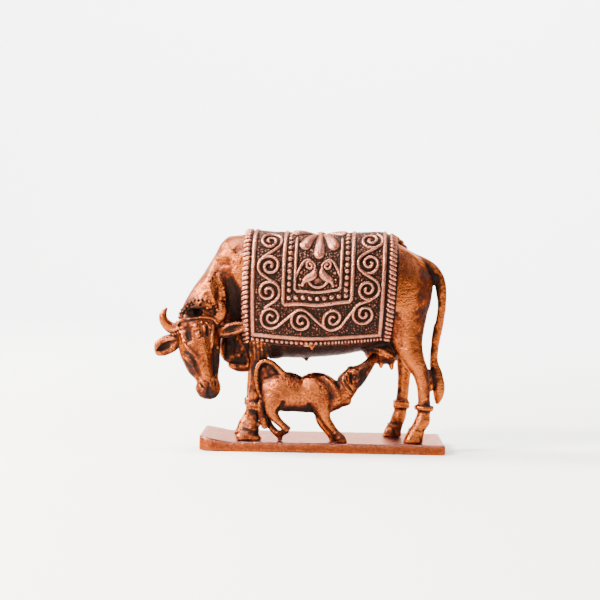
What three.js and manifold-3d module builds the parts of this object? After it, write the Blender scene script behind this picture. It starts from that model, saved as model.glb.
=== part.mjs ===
// A small cast cow with a suckling calf, standing on a flat base plate.
// Millimetres, +Z up. The origin is the centre of the plate's underside. The cow faces -X, and its near side
// is -Y.

import * as THREE from 'three';
import { mergeVertices } from 'three/addons/utils/BufferGeometryUtils.js';
import Module from 'manifold-3d';

// The figures. Their stations are in modules, and the cow is 72.8 modules high. The ground is at 3.5 modules
const COW_HEIGHT = 72.8;
const MODULE = COW_HEIGHT / 72.8;
const GROUND = 3.5;
const MIDDLE = -3;
const FRONT_TOE = 31.7;
const NEAREST_HOOF = 15.3;
const PEG_RADIUS = 0.8;

// Base plate. It reaches past the hooves by its margins, and swells up towards the front end
const PLATE_THICKNESS = 3.5;
const TOE_MARGIN = 10.5;
const HOOF_MARGIN = 1.7;
const PLATE_LENGTH = 2 * (FRONT_TOE * MODULE + TOE_MARGIN);
const PLATE_DEPTH = 2 * (NEAREST_HOOF * MODULE + HOOF_MARGIN);
const PLATE_CORNER_RADIUS = 1.6;
const WORN_CORNER_RADIUS = 4.5;
const PLATE_BEVEL = 0.4;
const SWELL_HEIGHT = 1.7;
const SWELL_GAP = 0.9;

// Blanket, with its carving
const BLANKET_THICKNESS = 1.2;
const EDGE_BEAD_PITCH = 1.6;
const EDGE_BEAD_WIDTH = 2.2;
const HEM_BEAD_PITCH = 1.75;
const PANEL_BEAD_PITCH = 2.3;
const PANEL_BEAD_WIDTH = 1.4;
const BEAD_HEIGHT = 0.7;
const RAIL_WIDTH = 1.1;
const RAIL_HEIGHT = 0.7;
const SCROLL_RADIUS = 3.75;
const SCROLL_WIDTH = 1.2;
const SCROLL_HEIGHT = 0.75;
const BIRD_WIDTH = 2.3;
const ARCH_WIDTH = 1;
const PETAL_WIDTH = 3.3;
const PETAL_HEIGHT = 1.1;
const RELIEF_ROOT = 0.4;

// Collar, anklets and headband
const COLLAR_BEAD_RADIUS = 1.1;
const COLLAR_BEAD_PITCH = 2.5;
const ANKLET_WIDTH = 2.6;
const ANKLET_RELIEF = 0.8;
const HEADBAND_RADIUS = 0.9;

const ACROSS = new THREE.Vector3(0, 1, 0);
const ALONG = new THREE.Vector3(1, 0, 0);
const FLAT_UP = new THREE.Vector3(0, 0, 1);
const MERGE_WITHIN = 1e-5;
const { lerp, degToRad } = THREE.MathUtils;

const wasm = await Module();
wasm.setup();

// Solids and meshes

function solidOf(geometry) {
  const plain = geometry.index ? geometry.toNonIndexed() : geometry.clone();
  plain.deleteAttribute('normal');
  plain.deleteAttribute('uv');
  const merged = mergeVertices(plain, MERGE_WITHIN);
  const vertProperties = new Float32Array(merged.attributes.position.array);
  const triVerts = new Uint32Array(merged.index.array);
  return new wasm.Manifold(new wasm.Mesh({ numProp: 3, vertProperties, triVerts }));
}

function joined(solids) {
  return solids.reduce((sum, solid) => sum.add(solid));
}

function meshOf(name, solid, look) {
  const { vertProperties, triVerts } = solid.getMesh();
  const geometry = new THREE.BufferGeometry();
  geometry.setAttribute('position', new THREE.Float32BufferAttribute(vertProperties, 3));
  geometry.setIndex([...triVerts]);
  geometry.computeVertexNormals();
  const mesh = new THREE.Mesh(geometry, new THREE.MeshStandardMaterial(look));
  mesh.name = name;
  return mesh;
}

// Place in the figures' modules, as a point in millimetres above the plate
function place(x, y, z) {
  return new THREE.Vector3(x * MODULE, y * MODULE, (z - GROUND) * MODULE + PLATE_THICKNESS);
}

function signedVolume(points, faces) {
  let sum = 0;
  for (let i = 0; i < faces.length; i += 3) {
    const [a, b, c] = [points[faces[i]], points[faces[i + 1]], points[faces[i + 2]]];
    sum += a.dot(b.clone().cross(c));
  }
  return sum;
}

function closed(points, faces) {
  if (signedVolume(points, faces) < 0) {
    faces.reverse();
  }
  const geometry = new THREE.BufferGeometry();
  geometry.setAttribute('position', new THREE.Float32BufferAttribute(points.flatMap((p) => p.toArray()), 3));
  geometry.setIndex(faces);
  return solidOf(geometry);
}

// Closed skin over rings of points, from one tip to the other
function skin(rings, startTip, endTip) {
  const sides = rings[0].length;
  const points = [startTip, ...rings.flat(), endTip];
  const faces = [];
  const at = (ring, side) => 1 + ring * sides + (side % sides);
  const last = rings.length - 1;
  for (let side = 0; side < sides; side += 1) {
    faces.push(0, at(0, side + 1), at(0, side));
    faces.push(points.length - 1, at(last, side), at(last, side + 1));
    for (let ring = 0; ring < last; ring += 1) {
      faces.push(at(ring, side), at(ring, side + 1), at(ring + 1, side));
      faces.push(at(ring, side + 1), at(ring + 1, side + 1), at(ring + 1, side));
    }
  }
  return closed(points, faces);
}

// Limbs

const LUMP_WAIST = 0.3;

// A limb follows a smooth path through its stations, [x, y, z, half across, half deep] in modules.
// Gives the point at a share of the path, turned around it, at a scale of its section, moved on by a shift
function limbShape(stations, across = ACROSS) {
  const path = new THREE.CatmullRomCurve3(stations.map(([x, y, z]) => place(x, y, z)));
  const halves = new THREE.CatmullRomCurve3(stations.map(([, , , a, b]) => new THREE.Vector3(a, b, 0)));
  halves.curveType = 'catmullrom';
  return (share, turn, scale, shift = 0) => {
    const tangent = path.getTangent(share);
    const side = across.clone().addScaledVector(tangent, -across.dot(tangent)).normalize();
    const deep = tangent.clone().cross(side);
    const half = halves.getPoint(share).multiplyScalar(MODULE);
    const point = path.getPoint(share).addScaledVector(tangent, shift * Math.min(half.x, half.y));
    point.addScaledVector(side, Math.cos(turn) * half.x * scale);
    return point.addScaledVector(deep, Math.sin(turn) * half.y * scale);
  };
}

function ringOf(shape, share, sides, scale, shift = 0) {
  return Array.from({ length: sides }, (_, i) => shape(share, (2 * Math.PI * i) / sides, scale, shift));
}

// The ends are domes, whose height is a share of the limb's half thickness there
function limb(stations, { across = ACROSS, sides = 5, dome = 0.6 } = {}) {
  const shape = limbShape(stations, across);
  const last = stations.length - 1;
  const rings = stations.map((_, i) => ringOf(shape, i / last, sides, 1));
  const shoulder = Math.SQRT1_2;
  rings.unshift(ringOf(shape, 0, sides, shoulder, -shoulder * dome));
  rings.push(ringOf(shape, 1, sides, shoulder, shoulder * dome));
  return skin(rings, shape(0, 0, 0, -dome), shape(1, 0, 0, dome));
}

function lump([x, y, z, halfX, halfY, halfZ], { sides = 8 } = {}) {
  const waist = LUMP_WAIST * halfX;
  const stations = [[x - waist, y, z, halfY, halfZ], [x + waist, y, z, halfY, halfZ]];
  return limb(stations, { sides, dome: (halfX - waist) / Math.min(halfY, halfZ) });
}

// A bead is a low spindle: a ring of four corners between two tips that point out of the limb
function bead(centre, out, axis, radius) {
  const side = out.clone().cross(axis);
  const from = (direction, way) => centre.clone().addScaledVector(direction, way);
  return skin([[from(side, radius), from(axis, radius), from(side, -radius), from(axis, -radius)]],
    from(out, -radius), from(out, radius));
}

// Beads around a limb at a share of its path, from one turn to another
function beadArc(shape, share, radius, pitch, fromTurn = 0, toTurn = 2 * Math.PI) {
  const middle = shape(share, 0, 0);
  const axis = shape(share, 0, 0, 1).sub(middle).normalize();
  const count = Math.round(((toTurn - fromTurn) * shape(share, 0, 1).distanceTo(middle)) / pitch);
  return Array.from({ length: count }, (_, i) => {
    const turn = lerp(fromTurn, toTurn, i / count);
    const centre = shape(share, turn, 1);
    return bead(centre, centre.clone().sub(middle).normalize(), axis, radius);
  });
}

// A leg's stations with those of an anklet put in at a height: a band that swells out of the leg
function withAnklet(leg, height, relief = ANKLET_RELIEF / MODULE) {
  const below = leg.findIndex(([, , z]) => z < height);
  const [upper, lower] = [leg[below - 1], leg[below]];
  const half = ANKLET_WIDTH / MODULE / 2;
  const band = [[half, 0], [half * 0.6, relief], [-half * 0.6, relief], [-half, 0]].map(([rise, swell]) => {
    const share = (upper[2] - height - rise) / (upper[2] - lower[2]);
    const [x, y, z, across, deep] = upper.map((value, k) => lerp(value, lower[k], share));
    return [x, y, z, across + swell, deep + swell];
  });
  return [...leg.slice(0, below), ...band, ...leg.slice(below)];
}

// Smooth curve through [place, value] stations
function profile(stations) {
  return (at) => {
    const last = stations.length - 2;
    const found = stations.findIndex(([next], i) => i > 0 && at <= next);
    const i = found < 0 ? last : found - 1;
    const [[x0, y0], [x1, y1]] = [stations[i], stations[i + 1]];
    const [before, after] = [stations[Math.max(i - 1, 0)], stations[Math.min(i + 2, last + 1)]];
    const t = THREE.MathUtils.clamp((at - x0) / (x1 - x0), 0, 1);
    const slope0 = ((y1 - before[1]) / (x1 - before[0])) * (x1 - x0);
    const slope1 = ((after[1] - y0) / (after[0] - x0)) * (x1 - x0);
    return y0 + (y1 - y0) * t * t * (3 - 2 * t) + slope0 * t * (1 - t) ** 2 - slope1 * t * t * (1 - t);
  };
}

// Torso

const TORSO_FRONT = -31.6;
const TORSO_REAR = 37.2;
const TORSO_TIPS = [[-34.1, MIDDLE, 60], [38, MIDDLE, 56]];
const TORSO_SQUARENESS = 2.5;
const backLine = profile([[-31.6, 72], [-26, 74.3], [-17, 74], [-8, 73.8], [-2.5, 73], [5, 73.7], [13, 74.3],
  [21, 74.2], [27, 71], [31, 68.6], [34.5, 65.6], [37.2, 60]]);
const bellyLine = profile([[-31.6, 43], [-26, 35], [-14, 31.8], [-4, 31.9], [7, 33], [14, 34.6], [22, 37],
  [30, 43], [37.2, 51]]);
const halfWidth = profile([[-31.6, 8.6], [-26, 11.8], [-18, 13.3], [-5, 14.2], [8, 14.2], [20, 13.4],
  [28, 12.4], [33, 10.2], [37.2, 5]]);

// Point of the torso's section at x, turned from the spine by the given angle and lifted off the skin
function torsoPoint(x, turn, lift = 0) {
  const half = (backLine(x) - bellyLine(x)) / 2;
  const squared = (value) => Math.sign(value) * Math.abs(value) ** (2 / TORSO_SQUARENESS);
  const y = MIDDLE + squared(Math.sin(turn)) * (halfWidth(x) + lift / MODULE);
  const z = bellyLine(x) + half + squared(Math.cos(turn)) * (half + lift / MODULE);
  return place(x, y, z);
}

function torso() {
  const [rings, sides] = [12, 16];
  const ringAt = (x) => Array.from({ length: sides }, (_, i) => torsoPoint(x, (2 * Math.PI * i) / sides));
  const places = Array.from({ length: rings }, (_, i) => lerp(TORSO_FRONT, TORSO_REAR, i / (rings - 1)));
  const [chest, rump] = TORSO_TIPS.map((tip) => place(...tip));
  return skin(places.map(ringAt), chest, rump);
}

// Blanket. It is carved flat, as a slab with its relief, and then bent over the back.
// Flat places are [along, drop] in modules: along the cow, and down from the spine (- near side, + far side)

const BLANKET_FRONT = -26.6;
const BLANKET_REAR = 25.4;
const BLANKET_LEAN = -2 / 45;
const USUAL_DROP = 46;
const NEAR_SIDE = -1;
const FAR_SIDE = 1;
const SECTION_STEPS = 48;
const hemLine = profile([[-30, 36.9], [-4, 36.2], [24, 38.6]]);

// Half of the blanket's outer section at x, from the spine down to the hem, with the way gone so far
function blanketSection(x) {
  const points = [];
  let way = 0;
  for (let i = 0; i <= SECTION_STEPS; i += 1) {
    const point = torsoPoint(x, (Math.PI * i) / SECTION_STEPS, BLANKET_THICKNESS);
    way += i > 0 ? point.distanceTo(points[i - 1].point) : 0;
    points.push({ point, way });
    if (point.z < place(0, 0, hemLine(x)).z) {
      break;
    }
  }
  return points;
}

const hemDrop = (along) => blanketSection(along + BLANKET_LEAN * USUAL_DROP).at(-1).way / MODULE;

// Takes a flat point to its place over the back. The blanket leans back to the front as it goes down
function bent({ x, y, z }) {
  const way = Math.abs(y);
  const points = blanketSection(x / MODULE + (BLANKET_LEAN * way) / MODULE);
  const found = points.findIndex((point, i) => i > 0 && point.way >= way);
  const next = found < 0 ? points.length - 1 : found;
  const [a, b] = [points[next - 1], points[next]];
  const point = a.point.clone().lerp(b.point, (way - a.way) / (b.way - a.way));
  point.addScaledVector(ALONG.clone().cross(b.point.clone().sub(a.point)).normalize(), z);
  point.y = y < 0 ? 2 * MIDDLE * MODULE - point.y : point.y;
  return point;
}

const flat = (along, drop, lift) => new THREE.Vector3(along * MODULE, drop * MODULE, lift);

// The slab is made of tiles between lines where it bends, with its lower face inside the torso
const BENDS_DOWN = [-26, -15, -10, -5, 0, 5, 10, 15, 26];
const BENDS_ALONG = [-19, -4, 12];
const STOP_APART = 0.02;
const SLAB_DEPTH = 3;

function slab() {
  const columns = [BLANKET_FRONT, ...BENDS_ALONG, BLANKET_REAR];
  const rowsAt = (along) => [-hemDrop(along), ...BENDS_DOWN, hemDrop(along)];
  const tiles = columns.slice(1).flatMap((right, i) => {
    const left = columns[i];
    const [leftRows, rightRows] = [rowsAt(left), rowsAt(right)];
    return leftRows.slice(1).map((leftRow, k) => {
      const corners = [[left, leftRows[k]], [right, rightRows[k]], [right, rightRows[k + 1]], [left, leftRow]];
      const outline = new THREE.Shape(corners.map((corner) => new THREE.Vector2(...corner)));
      const tile = new THREE.ExtrudeGeometry(outline, { depth: SLAB_DEPTH, bevelEnabled: false });
      return solidOf(tile.scale(MODULE, MODULE, 1).translate(0, 0, -SLAB_DEPTH));
    });
  });
  return joined(tiles);
}

function bentOverTheBack(solid) {
  const { vertProperties, triVerts } = solid.getMesh();
  const points = [];
  for (let i = 0; i < vertProperties.length; i += 3) {
    points.push(bent(new THREE.Vector3(...vertProperties.subarray(i, i + 3))));
  }
  return closed(points, [...triVerts]);
}

const between = ([along, drop], [nextAlong, nextDrop], share) => [
  lerp(along, nextAlong, share), lerp(drop, nextDrop, share)];

// Flat places along straight lines through corners, with stops where the slab bends
function withStops(corners) {
  return corners.flatMap((corner, i) => {
    const next = corners[Math.min(i + 1, corners.length - 1)];
    const shares = [BENDS_ALONG, BENDS_DOWN].flatMap((bends, axis) => bends.map(
      (bend) => (bend - corner[axis]) / (next[axis] - corner[axis])));
    const inner = shares.filter((share) => share > STOP_APART && share < 1 - STOP_APART);
    inner.sort((a, b) => a - b);
    return [corner, ...inner.map((share) => between(corner, next, share))];
  });
}

// A raised rib through flat places, three-sided in section and rooted in the slab
function rib(places, width, height) {
  const rings = places.map(([along, drop], i) => {
    const [fromAlong, fromDrop] = places[Math.max(i - 1, 0)];
    const [toAlong, toDrop] = places[Math.min(i + 1, places.length - 1)];
    const out = new THREE.Vector3(fromDrop - toDrop, toAlong - fromAlong, 0).setLength(width / 2);
    const root = flat(along, drop, -RELIEF_ROOT);
    return [root.clone().add(out), flat(along, drop, height), root.clone().sub(out)];
  });
  const middle = (ring) => ring[0].clone().lerp(ring[2], 0.5);
  return skin(rings, middle(rings[0]), middle(rings.at(-1)));
}

// A boss: a ring of corners around a raised middle. Four corners make a rectangle with these half sizes
function boss([along, drop], halfAlong, halfDrop, height, { corners = 4, turned = 0 } = {}) {
  const centre = flat(along, drop, 0);
  const ring = Array.from({ length: corners }, (_, i) => {
    const turn = (2 * Math.PI * (i + 0.5)) / corners;
    const corner = new THREE.Vector3(Math.cos(turn) * halfAlong, Math.sin(turn) * halfDrop, 0);
    corner.multiplyScalar(Math.SQRT2).applyAxisAngle(FLAT_UP, turned);
    return corner.add(centre).setZ(-RELIEF_ROOT / 2);
  });
  return skin([ring], centre.clone().setZ(-RELIEF_ROOT * 2), centre.clone().setZ(height));
}

function bossesBetween(from, to, pitch, halfAlong, halfDrop) {
  const way = Math.hypot(to[0] - from[0], to[1] - from[1]) * MODULE;
  const count = Math.round(way / pitch);
  return Array.from({ length: count + 1 }, (_, i) => boss(
    between(from, to, i / count), halfAlong, halfDrop, BEAD_HEIGHT));
}

// Border: a column of wide beads and a rail down each end, and a rail and a row of beads over the hem.
// On the far side, which is plainer, rolls take the place of the beads
const EDGE_BEADS = [-25.35, 24.15];
const RAILS = [-22.9, 21.4];
const RAIL_RISE = 3.1;
const HEM_BEAD_RISE = 1.4;
const BEAD_SHARE = 0.44;

const above = (side, along, rise) => [along, side * (hemDrop(along) - rise)];

function frameRibs(side) {
  const lines = [...RAILS.map((along) => [[along, 0], above(side, along, RAIL_RISE)]),
    [RAILS[0], ...BENDS_ALONG, RAILS[1]].map((along) => above(side, along, RAIL_RISE))];
  return lines.map((line) => rib(withStops(line), RAIL_WIDTH, RAIL_HEIGHT));
}

function borderBeads(side) {
  const size = BEAD_SHARE / Math.SQRT2;
  const columns = EDGE_BEADS.flatMap((along) => bossesBetween([along, side * 0.8], above(side, along, 1),
    EDGE_BEAD_PITCH, EDGE_BEAD_WIDTH * size, EDGE_BEAD_PITCH * size));
  const count = Math.round(((RAILS[1] - RAILS[0]) * MODULE) / HEM_BEAD_PITCH);
  const hemBeads = Array.from({ length: count + 1 }, (_, i) => {
    const centre = above(side, lerp(RAILS[0], RAILS[1], i / count), HEM_BEAD_RISE);
    return boss(centre, HEM_BEAD_PITCH * size, HEM_BEAD_PITCH * size, BEAD_HEIGHT);
  });
  return [...columns, ...hemBeads];
}

function borderRolls(side) {
  const hem = [RAILS[0], ...BENDS_ALONG, RAILS[1]].map((along) => above(side, along, HEM_BEAD_RISE));
  const columns = EDGE_BEADS.map((along) => rib(
    withStops([[along, 0], above(side, along, 1)]), EDGE_BEAD_WIDTH, BEAD_HEIGHT));
  return [...columns, rib(hem, HEM_BEAD_PITCH, BEAD_HEIGHT)];
}

// Running scroll. Each centre is [along, drop], and the stem passes the centres on alternate sides
const SCROLL_CENTRES = [[-17.5, 10.4], [-17.5, 19.6], [-17.4, 28.8], [-17.1, 38], [-6.1, 39], [4.5, 38.4],
  [15.7, 37.9], [16.2, 28.5], [16.5, 19.3], [16.6, 10.2]];
const SCROLL_TURNS = { [NEAR_SIDE]: 1.4, [FAR_SIDE]: 1 };
const SCROLL_STEPS = { [NEAR_SIDE]: 10, [FAR_SIDE]: 5 };
const SCROLL_ROUND = 0.28;
const SCROLL_EYE = 0.2;

function scrolls(side) {
  const radius = SCROLL_RADIUS / MODULE;
  return SCROLL_CENTRES.map(([along, drop], i) => {
    const last = i === SCROLL_CENTRES.length - 1;
    const [otherAlong, otherDrop] = SCROLL_CENTRES[last ? i - 1 : i + 1];
    const hand = i % 2 ? -1 : 1;
    const apart = Math.hypot(otherAlong - along, otherDrop - drop);
    const ahead = Math.atan2(otherDrop - drop, otherAlong - along) + (last ? Math.PI : 0);
    const start = ahead - hand * Math.acos(Math.min(1, (2 * radius) / apart));
    const spiral = Array.from({ length: SCROLL_STEPS[side] + 1 }, (_, k) => {
      const share = k / SCROLL_STEPS[side];
      const angle = start - hand * 2 * Math.PI * SCROLL_TURNS[side] * share;
      const wound = Math.max(0, share - SCROLL_ROUND) / (1 - SCROLL_ROUND);
      const reach = radius * lerp(1, SCROLL_EYE, wound);
      return [along + reach * Math.cos(angle), side * (drop + reach * Math.sin(angle))];
    });
    const [x, y] = [radius * Math.cos(start), radius * Math.sin(start)];
    const link = last ? [] : [[otherAlong - x, side * (otherDrop - y)]];
    return rib([...link, ...spiral], SCROLL_WIDTH, SCROLL_HEIGHT);
  });
}

// Panel hanging from the spine: a frame, a row of beads and an inner frame, around two birds
const PANEL_MIDDLE = -1;
const PANEL_FRAMES = [{ half: 11.6, top: 0, drop: 32.6 }, { half: 7.7, top: 9, drop: 28.2 }];
const PANEL_BEADS = { half: 9.6, top: 8, drop: 30.4 };
const BIRD_HEAD = { along: 3, drop: 19.8, reach: 1.6, eye: 0.7, start: 200, turns: 0.92 };
const BIRD_BODY = [[1.2, 20.4], [1.7, 22.3], [3.4, 23.4], [4.7, 24.8], [5.2, 27]];
const BIRD_ARCH = [[1, 17.2], [3.4, 16.4], [5.4, 17.8], [6.4, 20.5]];
const BOAT = { drop: 26, halfAlong: 1.3, halfDrop: 0.9 };
const FAR_BOSS = { drop: 22, half: 3 };
const ROSETTE_REACH = { along: 10, drop: 16.6 };
const ROSETTE_PETALS = 10;
const PETAL_MIDDLE = 0.68;
const PETAL_HALF_LENGTH = 0.31;
const ROSETTE_EYE = 1.6;

const panelLine = (side, { half, top, drop }) => [[-half, top], [-half, drop], [half, drop], [half, top]].map(
  ([x, y]) => [PANEL_MIDDLE + x, side * y]);

function panelFrames(side) {
  return PANEL_FRAMES.map((frame) => rib(withStops(panelLine(side, frame)), RAIL_WIDTH, RAIL_HEIGHT));
}

function panelBeads(side) {
  const [leftTop, left, right, rightTop] = panelLine(side, PANEL_BEADS);
  const size = PANEL_BEAD_WIDTH / 2 / Math.SQRT2;
  const gap = side * (PANEL_BEAD_PITCH / MODULE);
  const row = (from, to) => bossesBetween(from, to, PANEL_BEAD_PITCH, size, size);
  const column = (top, [along, drop]) => row(top, [along, drop - gap]);
  return [...row(left, right), ...column(leftTop, left), ...column(rightTop, right)];
}

// A bird faces the panel's middle: its curled head, its body down to the tail, and an arch over it
function bird(side, facing) {
  const at = ([x, y]) => [PANEL_MIDDLE + facing * x, side * y];
  const { along, drop, reach, eye, start, turns } = BIRD_HEAD;
  const head = Array.from({ length: 6 }, (_, i) => {
    const turn = degToRad(start - turns * 360 * (i / 5));
    const from = lerp(reach, eye, i / 5);
    return at([along + from * Math.cos(turn), drop - from * Math.sin(turn)]);
  });
  return [rib(head, SCROLL_WIDTH, SCROLL_HEIGHT), rib(BIRD_BODY.map(at), BIRD_WIDTH, SCROLL_HEIGHT),
    rib(BIRD_ARCH.map(at), ARCH_WIDTH, SCROLL_HEIGHT)];
}

function rosette() {
  const { along, drop } = ROSETTE_REACH;
  const petals = Array.from({ length: ROSETTE_PETALS }, (_, i) => {
    const angle = (2 * Math.PI * (i + 0.5)) / ROSETTE_PETALS;
    const [x, y] = [Math.cos(angle) * along, Math.sin(angle) * drop];
    const half = (Math.hypot(x, y) * MODULE * PETAL_HALF_LENGTH) / Math.SQRT2;
    const middle = [PANEL_MIDDLE + x * PETAL_MIDDLE, y * PETAL_MIDDLE];
    return boss(middle, half, PETAL_WIDTH / 2 / Math.SQRT2, PETAL_HEIGHT, { corners: 6, turned: Math.atan2(y, x) });
  });
  const eye = ROSETTE_EYE * MODULE;
  return [...petals, boss([PANEL_MIDDLE, 0], eye, eye, PETAL_HEIGHT, { corners: 6 })];
}

function blanket() {
  const carved = [NEAR_SIDE, FAR_SIDE].flatMap((side) => [
    ...frameRibs(side), ...scrolls(side), ...panelFrames(side)]);
  const boat = boss([PANEL_MIDDLE, NEAR_SIDE * BOAT.drop], BOAT.halfAlong * MODULE, BOAT.halfDrop * MODULE,
    BEAD_HEIGHT, { corners: 6 });
  const birds = [...bird(NEAR_SIDE, -1), ...bird(NEAR_SIDE, 1)];
  const near = [...borderBeads(NEAR_SIDE), ...panelBeads(NEAR_SIDE), ...birds, boat];
  const half = FAR_BOSS.half * MODULE;
  const farBoss = boss([PANEL_MIDDLE, FAR_SIDE * FAR_BOSS.drop], half, half, PETAL_HEIGHT, { corners: 8 });
  return bentOverTheBack(joined([slab(), ...carved, ...near, ...borderRolls(FAR_SIDE), farBoss, ...rosette()]));
}

// Neck and head

const NECK = [[-24, -3, 61, 10.5, 12.4], [-31, -4, 61, 9.5, 11.8], [-36, -6.5, 57, 8, 7.2],
  [-40, -9.5, 52.3, 7.2, 6.4], [-43, -11, 47, 6.6, 6], [-43.5, -11.5, 43, 6, 5]];
const HEAD = [[-43.3, -11.6, 46, 6.2, 4.2], [-43, -12.2, 42.5, 6.9, 5.6], [-42.8, -13, 38, 7.4, 6.2],
  [-42.4, -13.8, 33.5, 6.8, 5.6], [-41.3, -14.8, 28.5, 5, 4.6], [-40, -15.6, 24.5, 3.7, 3.8],
  [-39.2, -16, 21.6, 4.2, 3.9], [-39.2, -16, 19.6, 3.6, 3.2]];
const LEFT_HORN = [[-47, -12, 41.9, 2.3, 2.3], [-51.2, -12.4, 41.7, 2.1, 2.1], [-54.1, -12.6, 43.6, 1.7, 1.7],
  [-54.8, -12.6, 46.2, 1.2, 1.2], [-53.7, -12.6, 48, 0.4, 0.4]];
const RIGHT_HORN = [[-38.6, -12.6, 44.4, 2.3, 2.3], [-35.6, -13, 45.4, 2.2, 2.2],
  [-34.3, -13, 48.3, 1.8, 1.8], [-35.2, -12.8, 50.8, 1, 1], [-36.2, -12.6, 51.9, 0.4, 0.4]];
const LEFT_EAR = [[-48.5, -11, 38.6, 1.4, 1.2], [-52, -11, 37, 1.6, 3], [-55, -11.2, 35.6, 1.3, 2.9],
  [-57.6, -11.4, 34.4, 0.8, 1.4]];
const RIGHT_EAR = [[-37.5, -12, 39.6, 1.4, 1.2], [-34, -13, 40.8, 1.6, 2.3], [-30, -13.6, 41.7, 1.4, 2.2],
  [-26.6, -13.8, 42.6, 0.8, 0.8]];
const HEADBAND = [[-49.8, -13.6, 43.4], [-47, -16.4, 44.2], [-43.4, -17.2, 45.6], [-39.6, -16.6, 45.2],
  [-37, -14, 45]].map((station) => [...station, HEADBAND_RADIUS, HEADBAND_RADIUS]);
const EYES = [[-46.9, -17.3, 33.9], [-37.6, -17.6, 35.8]];
const BROW = [[-49.4, -15.6, 35.6, 0.8, 0.8], [-47, -18, 36.4, 0.9, 0.9], [-44.6, -18.9, 35, 0.8, 0.8]];
const EYE_HALVES = [1.7, 1, 1.1];
const MEDALLION = [-43.6, -17.6, 41.6, 1.9, 1, 1.9];
const COLLAR_SHARE = 0.68;

function head() {
  const collar = beadArc(limbShape(NECK), COLLAR_SHARE, COLLAR_BEAD_RADIUS, COLLAR_BEAD_PITCH);
  const eyes = EYES.map((eye) => lump([...eye, ...EYE_HALVES], { sides: 6 }));
  const hornsAndEars = [LEFT_HORN, RIGHT_HORN, LEFT_EAR, RIGHT_EAR].map((line) => limb(line, { sides: 6 }));
  return [limb(NECK, { sides: 12 }), limb(HEAD, { across: ALONG, sides: 10 }), limb(HEADBAND), limb(BROW),
    lump(MEDALLION, { sides: 6 }), ...hornsAndEars, ...eyes, ...collar];
}

// Chest with its hanging dewlap
const BRISKET = [[-29.5, -3.4, 52, 7, 5], [-31.5, -3.6, 44, 5.5, 4.6], [-31, -3.8, 36, 4, 4.4],
  [-30.2, -3.8, 29.6, 2.8, 3]];

// Legs

const NEAR = -11;
const FAR = 5.5;
const NEAR_FORELEG = [[-21.4, -9.4, 46, 4.4, 5.4], [-21.5, -10.2, 38, 3.6, 3.8], [-22, -10.8, 32, 2.6, 2.8],
  [-23.3, NEAR, 24, 2, 2.1], [-24.4, NEAR, 17.6, 2.1, 2.1], [-24.7, NEAR, 12, 2, 2.1],
  [-25, NEAR, 9.4, 2.1, 2.5], [-25.7, NEAR, 6, 2.6, 3.4], [-26.2, NEAR, 3, 2.7, 4]];
const FAR_FORELEG = [[-22, 3, 46, 4.4, 5.4], [-22.8, 4, 38, 3.6, 3.6], [-24.2, 5, 30, 2.4, 2.5],
  [-24.9, FAR, 22, 2, 2.1], [-25, FAR, 17.6, 2.1, 2.1], [-25.3, FAR, 12, 2, 2.1], [-25.8, FAR, 9.4, 2.1, 2.5],
  [-27, FAR, 6, 2.6, 3.4], [-27.7, FAR, 3, 2.7, 4]];
const NEAR_HIND_LEG = [[29, -6.5, 58, 7.6, 8.8], [29, -8.4, 46, 5.6, 7.2], [29.2, -9.6, 38.4, 4.4, 5.4],
  [31, NEAR, 32.4, 3.3, 3.8], [33.4, NEAR, 27.4, 2.5, 2.7], [34.6, NEAR, 21, 2.2, 2.3],
  [34.6, NEAR, 13.4, 2.2, 2.4], [34.2, NEAR, 11, 2.4, 2.7], [32.6, NEAR, 8.6, 2.3, 2.6],
  [31.6, NEAR, 6, 2.6, 3.1], [30.6, NEAR, 3, 2.7, 3.8]];
const FAR_HIND_LEG = [[29, 0.5, 58, 7.6, 8.8], [29, 3, 46, 5.6, 7], [29, 5, 37, 4, 4.8],
  [28.8, FAR, 29, 2.5, 2.7], [28.5, FAR, 21, 2.1, 2.2], [27.6, FAR, 13, 2.2, 2.4],
  [26.8, FAR, 10.4, 2.4, 2.5], [25.6, FAR, 7.6, 2.3, 2.5], [24.6, FAR, 5.6, 2.6, 3], [23.8, FAR, 3, 2.7, 3.6]];
const ANKLET_HEIGHT = 15.4;

function legs() {
  const whole = [NEAR_FORELEG, FAR_FORELEG, NEAR_HIND_LEG, FAR_HIND_LEG].map(
    (leg) => limb(withAnklet(leg, ANKLET_HEIGHT), { sides: 7, dome: 0.2 }));
  const below = NEAR_HIND_LEG.findIndex(([, , z]) => z < ANKLET_HEIGHT);
  const [upper, lower] = [NEAR_HIND_LEG[below - 1], NEAR_HIND_LEG[below]];
  const share = (upper[2] - ANKLET_HEIGHT) / (upper[2] - lower[2]);
  const outerHalf = [Math.PI / 2, (3 * Math.PI) / 2];
  const beads = beadArc(limbShape([upper, lower]), share, ANKLET_RELIEF, 2 * ANKLET_RELIEF, ...outerHalf);
  return [...whole, ...beads];
}

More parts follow.
